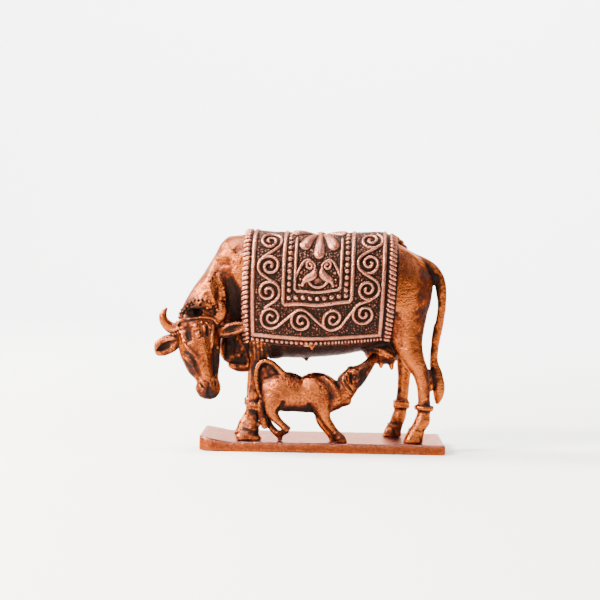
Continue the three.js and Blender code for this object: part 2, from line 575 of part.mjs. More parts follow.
const TAIL = [[31, MIDDLE, 67.6, 2.2, 2], [35.6, MIDDLE, 65.8, 1.8, 1.8], [39.6, MIDDLE, 62, 1.7, 1.7],
  [41.2, MIDDLE, 55, 1.6, 1.7], [40.5, MIDDLE, 47, 1.5, 1.6], [39.2, MIDDLE, 38, 1.3, 1.4],
  [38.6, MIDDLE, 31, 1.3, 1.3], [39.8, MIDDLE, 25.4, 1.9, 2.1], [40, MIDDLE, 21, 1.9, 2.1],
  [39.8, MIDDLE, 16.6, 0.5, 0.5]];
const TAIL_WEB = [[35, -8, 29, 1.6, 1.2], [37, -5, 28.6, 1.2, 0.8], [38.8, MIDDLE, 28, 1.4, 1]];
const UDDER = [[20.6, -4, 34, 6.2, 6, 4.2], [16.8, -5.4, 33, 3, 4, 2.4]];
const TEATS = [[[23, -5, 32, 1.3, 1.3], [23, -5, 27.8, 0.7, 0.7]], [[20, -7.4, 32.4, 1.3, 1.3],
  [20, -7.4, 29.2, 0.7, 0.7]], [[23.6, -0.6, 32.6, 1.3, 1.3], [23.6, -0.6, 29, 0.7, 0.7]]];
const NAVEL = [[-6.6, -4, 33.4, 2, 1.6], [-5.8, -4, 30.8, 0.9, 0.6]];

function tailAndUdder() {
  const tail = [limb(TAIL, { sides: 6 }), limb(TAIL_WEB, { across: ALONG, sides: 6 })];
  return [...tail, ...UDDER.map((half) => lump(half)), ...TEATS.map((teat) => limb(teat)), limb(NAVEL)];
}

// Calf

const CALF = -12;
const CALF_BODY = [[-19.6, CALF, 20.6, 2.8, 4.2], [-16, CALF, 20.4, 4.1, 6.2], [-12, CALF, 20.4, 4.2, 6.7],
  [-7, CALF, 19.5, 4, 6], [-2, CALF, 20, 4.3, 6.6], [2.4, CALF, 19.4, 3.8, 5.8], [4.6, CALF, 19.4, 3, 4.4]];
const CALF_NECK = [[1, CALF, 19.4, 3.6, 5.4], [5, CALF, 20.8, 3.2, 4.3], [8, CALF, 23.6, 2.9, 3.5],
  [10.6, CALF, 26.6, 3, 3.4], [13.4, -11.6, 29, 2.4, 2.6], [16.6, -10, 31.6, 1.8, 1.9],
  [18.6, -8, 33, 1.4, 1.5]];
const CALF_EAR = [[8.6, -14.6, 27.4, 0.8, 0.7], [8.8, -15.6, 25.4, 0.7, 1.3], [9.4, -15.8, 23.2, 0.5, 0.6]];
const CALF_FAR_EAR = [[7.4, -9.6, 27, 0.8, 0.8], [5.6, -8.4, 25.6, 0.6, 1.2], [4.6, -8, 24.6, 0.4, 0.5]];
const CALF_NEAR_FORELEG = [[-0.6, -13.6, 18.4, 2, 3], [0.2, -13.8, 13.6, 1.8, 2.1],
  [1.3, -13.8, 10.6, 1.5, 1.6], [3.8, -13.8, 7.4, 1.3, 1.3], [5.9, -13.8, 5, 1.5, 1.6],
  [7, -13.8, 3, 1.5, 1.8]];
const CALF_FAR_FORELEG = [[-1.6, -10.4, 17, 2, 2.6], [-1.4, -10, 12.4, 1.6, 1.7], [-0.6, -10, 9.6, 1.4, 1.5],
  [1.6, -10, 6.8, 1.2, 1.3], [3.2, -10, 4.8, 1.4, 1.5], [4.2, -10, 3, 1.4, 1.8]];
const CALF_NEAR_HIND_LEG = [[-16.6, -13.6, 18.4, 2.6, 3.6], [-17, -13.9, 13.6, 1.9, 2.3],
  [-16.6, -13.9, 10.9, 1.5, 1.7], [-14.2, -13.9, 8.2, 1.2, 1.3], [-12, -13.9, 6.2, 1.4, 1.5]];
const CALF_FAR_HIND_LEG = [[-18, -10.4, 18, 2.6, 3.4], [-19.4, -10.2, 13, 1.7, 2],
  [-18.6, -10.2, 9.6, 1.4, 1.4], [-16.4, -10.4, 7, 1.2, 1.3], [-15, -10.8, 5.4, 1.4, 1.4]];
const CALF_TAIL = [[-14.2, CALF, 25.8, 1.1, 1.1], [-16.4, CALF, 28.6, 1, 1], [-18.6, CALF, 30.6, 1, 1],
  [-20.8, CALF, 30.8, 1, 1], [-22.4, CALF, 28.8, 1, 1], [-22.8, CALF, 25.4, 0.9, 0.9],
  [-22.4, CALF, 21.4, 0.8, 0.8]];
const TAIL_FILL = [-19, CALF, 27, 3.4, 1.3, 2.8];
const BELL = [8.6, CALF, 17.4, 1.6, 1.2, 1.4];

// The rear hooves hang in the air: a bar joins them, and a peg under it reaches the plate
const HEEL_BAR = [[-15, -10.8, 5.6, 1.3, 1.2], [-12.6, -13.6, 6.2, 1.2, 1.2]];
const PEG_PLACE = [-14.4, -11.6];
const PEG_HEIGHT = 3;

function calf() {
  const peg = new THREE.CylinderGeometry(PEG_RADIUS, PEG_RADIUS, PEG_HEIGHT * MODULE, 6).rotateX(Math.PI / 2);
  peg.translate(...place(...PEG_PLACE, GROUND + PEG_HEIGHT / 2).toArray());
  const calfLegs = [CALF_NEAR_FORELEG, CALF_FAR_FORELEG, CALF_NEAR_HIND_LEG, CALF_FAR_HIND_LEG];
  const thin = [...calfLegs, CALF_EAR, CALF_FAR_EAR, CALF_TAIL].map((stations) => limb(stations));
  return [limb(CALF_BODY, { sides: 9 }), limb(CALF_NECK, { sides: 7 }), ...thin, lump(TAIL_FILL, { sides: 6 }),
    lump(BELL, { sides: 5 }), solidOf(peg), limb(HEEL_BAR, { across: ALONG })];
}

// Everything above the plate's top
function figures() {
  const ground = new THREE.BoxGeometry(4 * PLATE_LENGTH, 4 * PLATE_LENGTH, PLATE_LENGTH);
  ground.translate(0, 0, PLATE_THICKNESS - PLATE_LENGTH / 2);
  const cow = [torso(), blanket(), ...head(), limb(BRISKET, { sides: 8 }), ...legs(), ...tailAndUdder()];
  return joined([...cow, ...calf()]).subtract(solidOf(ground));
}

// Base plate: its outline, with one worn corner, under a side profile that swells towards the front end

function plateOutline() {
  const [x, y] = [PLATE_LENGTH / 2, PLATE_DEPTH / 2];
  const outline = new THREE.Shape();
  const corners = [[x, -y, PLATE_CORNER_RADIUS], [x, y, PLATE_CORNER_RADIUS], [-x, y, PLATE_CORNER_RADIUS],
    [-x, -y, WORN_CORNER_RADIUS]];
  corners.forEach(([cornerX, cornerY, radius], i) => {
    const start = -Math.PI / 2 + (i * Math.PI) / 2;
    const [centreX, centreY] = [cornerX - Math.sign(cornerX) * radius, cornerY - Math.sign(cornerY) * radius];
    outline.absarc(centreX, centreY, radius, start, start + Math.PI / 2, false);
  });
  return outline;
}

function basePlate() {
  const frontEnd = -PLATE_LENGTH / 2;
  const swellTop = PLATE_THICKNESS + SWELL_HEIGHT;
  const slab = new THREE.ExtrudeGeometry(plateOutline(), {
    depth: 2 * swellTop, curveSegments: 3, bevelThickness: PLATE_BEVEL, bevelSize: PLATE_BEVEL,
    bevelOffset: -PLATE_BEVEL, bevelSegments: 1 });
  slab.translate(0, 0, PLATE_BEVEL);
  const swellEnd = -(FRONT_TOE * MODULE + SWELL_GAP);
  const profileOfTop = [[frontEnd, -swellTop], [PLATE_LENGTH, -swellTop], [PLATE_LENGTH, PLATE_THICKNESS],
    [swellEnd, PLATE_THICKNESS], [frontEnd, swellTop]];
  const side = new THREE.Shape(profileOfTop.map(([x, z]) => new THREE.Vector2(x, z)));
  const mould = new THREE.ExtrudeGeometry(side, { depth: 2 * PLATE_DEPTH, bevelEnabled: false });
  mould.rotateX(Math.PI / 2).translate(0, PLATE_DEPTH, 0);
  return solidOf(slab).intersect(solidOf(mould));
}

const COPPER = { color: 0xa8623a, roughness: 0.36, metalness: 0.85 };
const model = new THREE.Group();
model.add(meshOf('cow_and_calf', figures(), COPPER));
model.add(meshOf('base_plate', basePlate(), COPPER));

export default model;
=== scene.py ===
import math

import bpy
import numpy as np
from mathutils import Matrix, Vector


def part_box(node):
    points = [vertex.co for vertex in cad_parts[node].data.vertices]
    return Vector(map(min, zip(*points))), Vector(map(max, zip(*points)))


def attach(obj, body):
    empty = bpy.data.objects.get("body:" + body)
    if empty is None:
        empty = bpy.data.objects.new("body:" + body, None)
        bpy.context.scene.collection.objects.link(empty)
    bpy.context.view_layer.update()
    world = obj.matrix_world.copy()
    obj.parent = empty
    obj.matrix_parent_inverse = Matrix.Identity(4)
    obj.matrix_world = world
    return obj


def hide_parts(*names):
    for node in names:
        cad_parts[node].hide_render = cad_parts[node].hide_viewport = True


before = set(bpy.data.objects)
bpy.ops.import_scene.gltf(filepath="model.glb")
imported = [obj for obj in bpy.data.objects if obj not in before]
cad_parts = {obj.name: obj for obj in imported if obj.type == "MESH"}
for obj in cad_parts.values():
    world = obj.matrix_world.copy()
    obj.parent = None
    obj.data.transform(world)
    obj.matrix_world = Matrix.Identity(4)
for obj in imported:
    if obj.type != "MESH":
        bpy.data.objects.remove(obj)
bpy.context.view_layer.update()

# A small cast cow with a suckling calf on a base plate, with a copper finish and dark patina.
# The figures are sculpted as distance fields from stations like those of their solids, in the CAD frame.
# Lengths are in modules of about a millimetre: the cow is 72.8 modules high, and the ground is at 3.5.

# Frame and units

FIGURES_HIGH = 72.82
GROUND = 3.5
# Depths of the cow's middle, of its near legs and of its far legs
MIDDLE, NEAR, FAR = -3.0, -11.0, 5.5

figures_low, figures_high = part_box("cow_and_calf")
_, plate_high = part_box("base_plate")
MODULE = (figures_high.z - figures_low.z) / FIGURES_HIGH

ACROSS = np.array([0.0, 1.0, 0.0])
ALONG = np.array([1.0, 0.0, 0.0])
FAR_AWAY = 30.0
THINNEST = 0.05
LIMB_SPARE, LUMP_SPARE = 1.5, 1.0
LONGEST_SIGHT = 40.0
UNITS = np.eye(3, dtype=int)
COW_CELL, FINE_CELL, PLATE_CELL = 0.42, 0.2, 0.42


def in_metres(points):
    """Points in modules, as places in the frame."""
    return (points - [0, 0, GROUND]) * MODULE + [0, 0, figures_low.z]


# Noise

HASH_PRIMES = (73856093, 19349663, 83492791)
HASH_MIX = 1274126177
HASH_LEVELS = 0xFFFF
NOISE_START, NOISE_SHIFT = 100.0, 17.3
GRAIN_START = (50, 90)
GRAIN_JITTER, GRAIN_LOWEST, GRAIN_SPREAD = 0.7, 0.35, 0.3


def hashed(*cells):
    """Random numbers from 0 to 1, the same for the same whole numbers."""
    mixed = sum(cell.astype(np.int64) * prime for cell, prime in zip(cells, HASH_PRIMES))
    mixed = (mixed ^ (mixed >> 13)) * HASH_MIX
    return ((mixed ^ (mixed >> 16)) & HASH_LEVELS) / HASH_LEVELS


def eased(share):
    """Share from 0 to 1 that starts and ends gently."""
    return share * share * (3 - 2 * share)


def corners_of(part):
    """The eight corners of the cells that hold the points, each with its share at every point."""
    for corner in np.ndindex(2, 2, 2):
        yield corner, np.prod(np.abs(1 - np.array(corner) - part), axis=-1)


def noise(points, size, seed=0):
    """Smooth value noise from -1 to 1, with features of the given size."""
    scaled = points / size + NOISE_SHIFT * seed + NOISE_START
    cell = np.floor(scaled).astype(np.int64)
    total = sum(share * hashed(*np.moveaxis(cell + corner, -1, 0))
                for corner, share in corners_of(eased(scaled - cell)))
    return 2 * total - 1


def layered(points, layers):
    """Sum of noises, each with its amount, size and seed."""
    return sum(amount * noise(points, size, seed) for amount, size, seed in layers)


def grains(along, drop, pitch, seed=0):
    """Pebbled ground: one dome in each cell of a jittered grid, from 0 to 1."""
    u, v = along / pitch + GRAIN_START[0], drop / pitch + GRAIN_START[1]
    best = np.zeros(u.shape)
    for du in (-1, 0, 1):
        for dv in (-1, 0, 1):
            cell_u, cell_v = np.floor(u) + du, np.floor(v) + dv
            seeds = np.full(u.shape, seed)
            middle_u = cell_u + 0.5 + GRAIN_JITTER * (hashed(cell_u, cell_v, seeds) - 0.5)
            middle_v = cell_v + 0.5 + GRAIN_JITTER * (hashed(cell_v, cell_u, seeds + 1) - 0.5)
            strength = GRAIN_LOWEST + (1 - GRAIN_LOWEST) * hashed(cell_u, cell_v, seeds + 2)
            away = (u - middle_u) ** 2 + (v - middle_v) ** 2
            best = np.maximum(best, strength * (1 - away / GRAIN_SPREAD))
    return best


def step(low, high, value):
    """Smooth step from 0 at low to 1 at high."""
    return eased(np.clip((value - low) / (high - low), 0, 1))


# Smooth lines through stations

def smooth_line(stations, steps):
    """Catmull-Rom samples through rows of stations."""
    rows = np.array(stations, float)
    before = np.vstack([2 * rows[0] - rows[1], rows[:-1]])
    after = np.vstack([rows[1:], 2 * rows[-1] - rows[-2]])
    slopes = (after - before) / 2
    share = np.linspace(0, 1, steps, endpoint=False)[:, None]
    parts = []
    for i in range(len(rows) - 1):
        a, b, p, q = rows[i], rows[i + 1], slopes[i], slopes[i + 1]
        bend = p * share * (1 - share) ** 2 - q * share ** 2 * (1 - share)
        parts.append(a + (b - a) * eased(share) + bend)
    return np.vstack([*parts, rows[-1:]])


def profile(stations):
    """Smooth curve through [place, value] stations, as a function of the place."""
    places, values = np.array(stations, float).T
    slopes = np.gradient(values, places)
    slopes[1:-1] = (values[2:] - values[:-2]) / (places[2:] - places[:-2])

    def curve(at):
        i = np.clip(np.searchsorted(places, at) - 1, 0, len(places) - 2)
        width = places[i + 1] - places[i]
        t = np.clip((at - places[i]) / width, 0, 1)
        bend = slopes[i] * width * t * (1 - t) ** 2 - slopes[i + 1] * width * t * t * (1 - t)
        return values[i] + (values[i + 1] - values[i]) * eased(t) + bend

    return curve


# Distance fields

def melted(a, b, reach):
    """Smaller of two distances, with a fillet where they are close."""
    close = np.maximum(reach - np.abs(a - b), 0) / reach
    return np.minimum(a, b) - close * close * reach / 4


class Field:
    """Distances to a form on a regular grid, negative inside it."""

    def __init__(self, low, high, cell):
        self.cell = cell
        self.low = np.array(low, float)
        self.shape = np.ceil((np.array(high) - self.low) / cell).astype(int) + 1
        self.value = np.full(self.shape, FAR_AWAY, np.float32)

    def window(self, low, high):
        """Slices of the grid between two corners, and the places along each axis there."""
        first = np.clip(np.floor((np.array(low) - self.low) / self.cell).astype(int), 0, self.shape)
        last = np.clip(np.ceil((np.array(high) - self.low) / self.cell).astype(int) + 1, first, self.shape)
        x, y, z = ((start + self.cell * np.arange(*ends)).astype(np.float32)
                   for start, *ends in zip(self.low, first, last))
        where = tuple(slice(a, b) for a, b in zip(first, last))
        return where, (x[:, None, None], y[None, :, None], z[None, None, :])

    def join(self, where, distance, reach):
        """Adds a form, with a fillet of the given reach."""
        self.value[where] = melted(self.value[where], distance, reach)

    def cut(self, where, distance, reach):
        """Takes a form away, with a fillet of the given reach."""
        self.value[where] = -melted(-self.value[where], distance, reach)

    def at(self, points):
        """Distances at points between the grid's own, in modules."""
        scaled = np.clip((points - self.low) / self.cell, 0, self.shape - 1.001)
        cell = scaled.astype(int)
        return sum(share * self.value[tuple((cell + corner).T)]
                   for corner, share in corners_of(scaled - cell))


def ellipsoid_distance(parts):
    """Distance to an ellipsoid, from each axis's offset and half size."""
    near = np.sqrt(sum((offset / half) ** 2 for offset, half in parts))
    slope = np.sqrt(sum((offset / half ** 2) ** 2 for offset, half in parts)) + 1e-6
    return near * (near - 1) / slope


def unit(vectors):
    """Vectors brought to length one."""
    return vectors / (np.linalg.norm(vectors, axis=-1, keepdims=True) + 1e-12)


def along_axes(places, start, axes):
    """Offsets of the places from the start, along each axis."""
    offsets = [place - s for place, s in zip(places, start)]
    return [sum(offset * part for offset, part in zip(offsets, axis)) for axis in axes]


def limb(field, stations, reach=1.5, across=ACROSS, steps=4, dome=0.8, cut=False):
    """Joins or cuts a limb through [x, y, z, half across, half deep] stations."""
    line = smooth_line(stations, steps)
    centres, halves = line[:, :3], np.maximum(line[:, 3:], THINNEST)
    spare = reach + LIMB_SPARE
    pad = halves.max() + spare
    where, _ = field.window(centres.min(0) - pad, centres.max(0) + pad)
    whole = np.full([s.stop - s.start for s in where], FAR_AWAY, np.float32)
    for i in range(len(line) - 1):
        start, end = centres[i], centres[i + 1]
        way = end - start
        length = np.linalg.norm(way) + 1e-9
        tangent = way / length
        side = unit(across - tangent * (across @ tangent))
        deep = np.cross(tangent, side)
        pad = halves[i:i + 2].max() + spare
        part, places = field.window(np.minimum(start, end) - pad, np.maximum(start, end) + pad)
        ahead, beside, below = along_axes(places, start, (tangent, side, deep))
        share = np.clip(ahead / length, 0, 1)
        wide, tall = (halves[i, k] + share * (halves[i + 1, k] - halves[i, k]) for k in (0, 1))
        end_offset = (ahead - share * length, np.minimum(wide, tall) * dome)
        distance = ellipsoid_distance([(beside, wide), (below, tall), end_offset])
        inner = tuple(slice(p.start - w.start, p.stop - w.start) for p, w in zip(part, where))
        whole[inner] = np.minimum(whole[inner], distance)
    (field.cut if cut else field.join)(where, whole, reach)


def lump(field, centre, halves, reach=0.8, cut=False):
    """Joins or cuts an ellipsoid."""
    pad = max(halves) + reach + LUMP_SPARE
    centre = np.array(centre, float)
    where, places = field.window(centre - pad, centre + pad)
    distance = ellipsoid_distance([(place - c, half) for place, c, half in zip(places, centre, halves)])
    (field.cut if cut else field.join)(where, distance.astype(np.float32), reach)


def ring(field, centre, axis, halves, radius, reach=0.3):
    """Joins a ring around a leg: halves are the leg's own half sizes, across and deep."""
    axis = unit(np.array(axis, float))
    side = unit(ACROSS - axis * (ACROSS @ axis))
    deep = np.cross(axis, side)
    pad = max(halves) + radius + reach + LUMP_SPARE
    centre = np.array(centre, float)
    where, places = field.window(centre - pad, centre + pad)
    along, u, v = along_axes(places, centre, (axis, side, deep))
    mean = (halves[0] + halves[1]) / 2
    out = np.sqrt((u / halves[0]) ** 2 + (v / halves[1]) ** 2) * mean - mean
    field.join(where, (np.sqrt(out ** 2 + along ** 2) - radius).astype(np.float32), reach)


def hit(field, start, way):
    """First place where a straight line through the grid crosses the surface."""
    steps = np.arange(0, LONGEST_SIGHT, field.cell / 2)[:, None]
    points = np.array(start, float) + steps * unit(np.array(way, float))
    inside = field.at(points) < 0
    return points[np.argmax(inside != inside[0])]


def facing(field, x, z):
    """Place on the near side's surface at a height and length."""
    return hit(field, (x, field.low[1], z), ACROSS)


def stroke(field, marks, reach, sink, cut):
    """Line on the near surface through [x, z, half] marks. Sink moves it in, away from the viewer's side."""
    stations = [[*(facing(field, x, z) + ACROSS * sink), half, half] for x, z, half in marks]
    limb(field, stations, reach, cut=cut)


def fold(field, marks, reach=0.4, sink=0.0):
    """Raises a line."""
    stroke(field, marks, reach, sink, False)


def groove(field, marks, reach=0.4, sink=0.0):
    """Cuts a line."""
    stroke(field, marks, reach, sink, True)


def boss(field, x, z, halves, reach, sink=0.0, cut=False):
    """Joins or cuts an ellipsoid on the near surface."""
    lump(field, facing(field, x, z) + ACROSS * sink, halves, reach, cut=cut)


def studded(field, places, radius, reach=0.15, sink=0.0):
    """Raises a small dome at each [x, z] place on the near surface."""
    centres = [facing(field, x, z) + ACROSS * sink for x, z in places]
    for centre in centres:
        lump(field, centre, (radius,) * 3, reach)


def at_lengths(line, at):
    """Points of a line at given ways along it."""
    lengths = lengths_of(line)
    return np.stack([np.interp(at, lengths, line[:, k]) for k in range(line.shape[1])], 1)


def lengths_of(line):
    """The way along a line to each of its points."""
    return np.concatenate([[0], np.cumsum(np.linalg.norm(np.diff(line, axis=0), axis=1))])


def spaced(line, pitch):
    """Places at an even pitch along a smooth line."""
    line = smooth_line(line, 12)
    way = lengths_of(line)[-1]
    return at_lengths(line, np.linspace(0, way, int(round(way / pitch)) + 1))


# Surface of a field, and meshes

def surface(field):
    """Corners and four-sided faces of a field's surface, one corner in each cell that it crosses."""
    inside = field.value < 0
    size = np.array(inside.shape) - 1
    filled = np.zeros(size, np.int8)
    for corner in np.ndindex(2, 2, 2):
        filled += inside[tuple(slice(first, first + count) for first, count in zip(corner, size))]
    mixed = (filled > 0) & (filled < 8)
    cells = np.argwhere(mixed)
    index = np.full(mixed.shape, -1, np.int64)
    index[mixed] = np.arange(len(cells))
    return surface_points(field, cells), surface_faces(inside, index)


def surface_points(field, cells):
    """Mean of the places where the surface crosses the edges of each cell."""
    total, hits = np.zeros((len(cells), 3)), np.zeros(len(cells))
    for k in range(3):
        i, j = (k + 1) % 3, (k + 2) % 3
        for di, dj in np.ndindex(2, 2):
            aside = UNITS[i] * di + UNITS[j] * dj
            a, b = field.value[tuple((cells + aside).T)], field.value[tuple((cells + aside + UNITS[k]).T)]
            crossed = (a < 0) != (b < 0)
            share = np.where(crossed, a / np.where(crossed, a - b, 1), 0)
            total += (aside + UNITS[k] * share[:, None]) * crossed[:, None]
            hits += crossed
    return field.low + field.cell * (cells + total / hits[:, None])


def surface_faces(inside, index):
    """A face across each edge of the grid that the surface crosses, with its front outside."""
    faces = []
    for k in range(3):
        i, j = (k + 1) % 3, (k + 2) % 3
        low, high = [slice(1, -1)] * 3, [slice(1, -1)] * 3
        low[k], high[k] = slice(0, -1), slice(1, None)
        starts = np.argwhere(inside[tuple(low)] != inside[tuple(high)]) + 1
        starts[:, k] -= 1
        around = ((1, 1), (0, 1), (0, 0), (1, 0))
        quads = np.stack([index[tuple((starts - UNITS[i] * a - UNITS[j] * b).T)] for a, b in around], 1)
        faces.append(np.where(inside[tuple(starts.T)][:, None], quads, quads[:, ::-1]))
    return np.vstack(faces)


def edges_of(faces):
    """Every pair of neighbouring corners, once."""
    pairs = np.vstack([faces[:, [a, (a + 1) % 4]] for a in range(4)])
    return np.unique(np.sort(pairs, 1), axis=0)


def neighbour_mean(values, edges):
    """Mean of each corner's neighbours' values."""
    count = len(values)
    first, second = edges.T
    total = np.stack([np.bincount(first, column[second], count) + np.bincount(second, column[first], count)
                      for column in values.T], 1)
    return total / np.bincount(edges.ravel(), minlength=count)[:, None]


def normals_of(points, faces):
    """Direction out of the surface at each corner."""
    a, b, c, d = (points[faces[:, k]] for k in range(4))
    flat = np.cross(c - a, d - b)
    total = np.zeros_like(points)
    for corner in faces.T:
        for axis in range(3):
            total[:, axis] += np.bincount(corner, flat[:, axis], len(points))
    return unit(total)


OPEN_REACHES = ((0.6, 0.35), (1.5, 0.35), (4.0, 0.3))


def openness(field, points, normals):
    """How open the space around each corner is, from 0 in a deep hollow to 1."""
    return sum(weight * np.clip(field.at(points + normals * reach) / reach, 0, 1)
               for reach, weight in OPEN_REACHES)


def bulge(points, normals, edges, rounds):
    """How far each corner stands out of its surroundings, in modules."""
    smooth = points
    for _ in range(rounds):
        smooth = neighbour_mean(smooth, edges)
    return ((points - smooth) * normals).sum(1)


def piece(name, points, faces, material, node, wear_and_painted_light):
    """Mesh object that stands for a CAD node. Its wear and painted light is 0 in the recesses and where shade
    is painted, and 1 where the finish is worn or a highlight is painted.
    """
    mesh = bpy.data.meshes.new(name)
    low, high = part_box(node)
    mesh.from_pydata(np.clip(in_metres(points), low, high).tolist(), [], [list(face) for face in faces])
    # Wear of the finish together with painted shade and painted highlights, which the material turns into
    # colour
    attribute = mesh.attributes.new("wear_and_painted_light", "FLOAT", "POINT")
    attribute.data.foreach_set("value", np.clip(wear_and_painted_light, 0, 1).astype(np.float32))
    mesh.shade_smooth()
    made = bpy.data.objects.new(name, mesh)
    bpy.context.scene.collection.objects.link(made)
    mesh.materials.append(material)
    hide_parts(node)
    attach(made, "root")
    return made


CASTING_NOISE = ((0.07, 2.2, 1), (0.05, 0.9, 2))
# Noise that makes the edges of painted shade ragged
RAGGED_NOISE = ((0.7, 1.1, 4), (0.4, 2.6, 5))
# Stretch of each patch of painted light along x, y and z
PAINTED_LIGHT_SHAPE = np.array([1, 0.5, 1])
# Weights of even wear, of dark patina and painted shade in hollows, of worn ridges, of painted light and
# shade on broad swellings and valleys, and of painted shade on undersides
EVEN_WEAR, OPEN_PATINA_AND_SHADE, RIDGE_WEAR, SWELL_LIGHT_AND_SHADE, UNDERSIDE_SHADE = 0.1, 0.65, 2.2, 0.6, -0.55
RIDGE_ROUNDS, SWELL_ROUNDS = 6, 40
OPEN_FROM, UNDERSIDE_SHADE_FROM = (0.1, 0.95), (0.15, 0.85)


def cast(name, field, material, node, painted_light=()):
    """Turns a field into a piece, with the slight unevenness of a casting. Open places and ridges are worn,
    hollows keep dark patina with painted shade in the wider concavities, broad swellings get a painted
    highlight, broad valleys and undersides painted shade, and each patch of painted light is painted shade,
    or a painted highlight where its amount is below zero."""
    points, faces = surface(field)
    edges = edges_of(faces)
    points = (points + neighbour_mean(points, edges)) / 2
    normals = normals_of(points, faces)
    open_space = openness(field, points, normals)
    points = points + normals * layered(points, CASTING_NOISE)[:, None]
    normals = normals_of(points, faces)
    # Dark patina in the hollows, with painted shade in the wider concavities, by how open the space around is
    wear_and_painted_light = EVEN_WEAR + OPEN_PATINA_AND_SHADE * step(*OPEN_FROM, open_space)
    wear_and_painted_light += RIDGE_WEAR * bulge(points, normals, edges, RIDGE_ROUNDS)
    # Painted light and shade: broad swellings lighter, broad valleys darker
    wear_and_painted_light += SWELL_LIGHT_AND_SHADE * bulge(points, normals, edges, SWELL_ROUNDS)
    # Painted shade on the faces that look down
    wear_and_painted_light += UNDERSIDE_SHADE * step(*UNDERSIDE_SHADE_FROM, -normals[:, 2])
    ragged = 1 + layered(points, RAGGED_NOISE)
    # Patches of painted light: painted shade where the amount is above zero, a painted highlight where it is
    # below
    for x, y, z, reach, amount in painted_light:
        share = np.exp(-(((points - [x, y, z]) * PAINTED_LIGHT_SHAPE) ** 2).sum(1) / reach ** 2)
        wear_and_painted_light -= amount * share * (ragged if amount > 0 else 1)
    return piece(name, points, faces.tolist(), material, node, wear_and_painted_light)


# Torso

BACK = profile([[-31.6, 72], [-26, 74.3], [-17, 74], [-8, 73.8], [-2.5, 73], [5, 73.7], [13, 74.3],
                [21, 74.2], [27, 71], [31, 68.6], [34.5, 65.6], [37.2, 60]])
BELLY = profile([[-31.6, 43], [-26, 35], [-14, 31.8], [-4, 31.9], [7, 33], [14, 34.6], [22, 37], [30, 43],
                 [37.2, 51]])
HALF_WIDTH = profile([[-31.6, 8.6], [-26, 11.8], [-18, 13.3], [-5, 14.2], [8, 14.2], [20, 13.4], [28, 12.4],
                      [33, 10.2], [37.2, 5]])
TORSO_ENDS = (-31.6, 37.2)
TORSO_END_REACH = (2.5, 0.9)
SQUARENESS = 2.5


def torso(field):
    """Barrel between the back and the belly, with squarish sections and rounded ends."""
    where, (x, y, z) = field.window((-38, -18, 30), (41, 12, 76))
    inner = np.clip(x, *TORSO_ENDS)
    half = (BACK(inner) - BELLY(inner)) / 2
    beyond = np.maximum(TORSO_ENDS[0] - x, 0) / TORSO_END_REACH[0]
    beyond = np.maximum(beyond, np.maximum(x - TORSO_ENDS[1], 0) / TORSO_END_REACH[1])
    aside, above = np.abs((y - MIDDLE) / HALF_WIDTH(inner)), np.abs((z - BELLY(inner) - half) / half)
    near = (aside ** SQUARENESS + above ** SQUARENESS + beyond ** SQUARENESS) ** (1 / SQUARENESS)
    steep = np.sqrt(sum(slope ** 2 for slope in np.gradient(near, field.cell))) + 0.01
    field.join(where, ((near - 1) / steep).astype(np.float32), 0.5)


# Cow

NECK = [[-24, -3, 61, 10.5, 12.4], [-30.6, -4, 60.4, 9.5, 10.2], [-35.6, -6.5, 57, 8, 7.4],
        [-39.8, -9.5, 52.3, 7.2, 6.4], [-43, -11, 47, 6.6, 6], [-43.5, -11.5, 43, 6, 5]]
BRISKET = [[-29.5, -3.4, 52, 7, 5], [-31.5, -3.6, 44, 5.5, 4.6], [-31, -4, 36, 4.4, 4.6],
           [-29.4, -4.4, 30.4, 3.4, 4], [-26.5, -5, 29, 2.8, 2.6]]
NEAR_FORELEG = [[-21.4, -9.4, 46, 4.4, 5.4], [-21.5, -10.2, 38, 3.6, 3.8], [-22, -10.8, 32, 2.6, 2.8],
                [-23, NEAR, 24, 2, 2.1], [-23.4, NEAR, 19.6, 2.2, 2.3], [-23.6, NEAR, 16, 1.8, 1.9],
                [-23.8, NEAR, 12, 1.9, 2], [-24.2, NEAR, 9.4, 2.1, 2.4], [-24.8, NEAR, 6, 2.6, 3.1],
                [-25.4, NEAR, 3, 2.7, 3.8]]
FAR_FORELEG = [[-22, 3, 46, 4.4, 5.4], [-22.8, 4, 38, 3.6, 3.6], [-24.2, 5, 30, 2.4, 2.5],
               [-24.9, FAR, 22, 2, 2.1], [-25, FAR, 17.6, 2.1, 2.1], [-25.3, FAR, 12, 2, 2.1],
               [-25.8, FAR, 9.4, 2.1, 2.5], [-27, FAR, 6, 2.6, 3.2], [-27.7, FAR, 3, 2.7, 3.8]]
NEAR_HIND_LEG = [[28.2, -6.5, 58, 7.4, 8.2], [28.4, -8.4, 46, 5.6, 6.8], [28.9, -9.6, 38.4, 4.4, 5.2],
                 [31, NEAR, 32.4, 3.3, 3.8], [33.6, NEAR, 27.4, 2.5, 2.8], [34.8, NEAR, 21, 2.0, 2.2],
                 [34.8, NEAR, 13.4, 2.1, 2.3], [34.4, NEAR, 11, 2.4, 2.7], [33, NEAR, 8.6, 2.3, 2.4],
                 [32, NEAR, 6, 2.6, 3], [31.2, NEAR, 3, 2.7, 3.5]]
FAR_HIND_LEG = [[28.2, 0.5, 58, 7.4, 8.2], [28.4, 3, 46, 5.6, 6.8], [29, 5, 37, 4, 4.6],
                [28.8, FAR, 29, 2.5, 2.7], [28.5, FAR, 21, 2, 2.1], [27.6, FAR, 13, 2.1, 2.3],
                [27, FAR, 10.4, 2.4, 2.5], [26, FAR, 7.6, 2.3, 2.4], [25.2, FAR, 5.6, 2.6, 3],
                [24.6, FAR, 3, 2.7, 3.5]]
LEGS = [NEAR_FORELEG, FAR_FORELEG, NEAR_HIND_LEG, FAR_HIND_LEG]
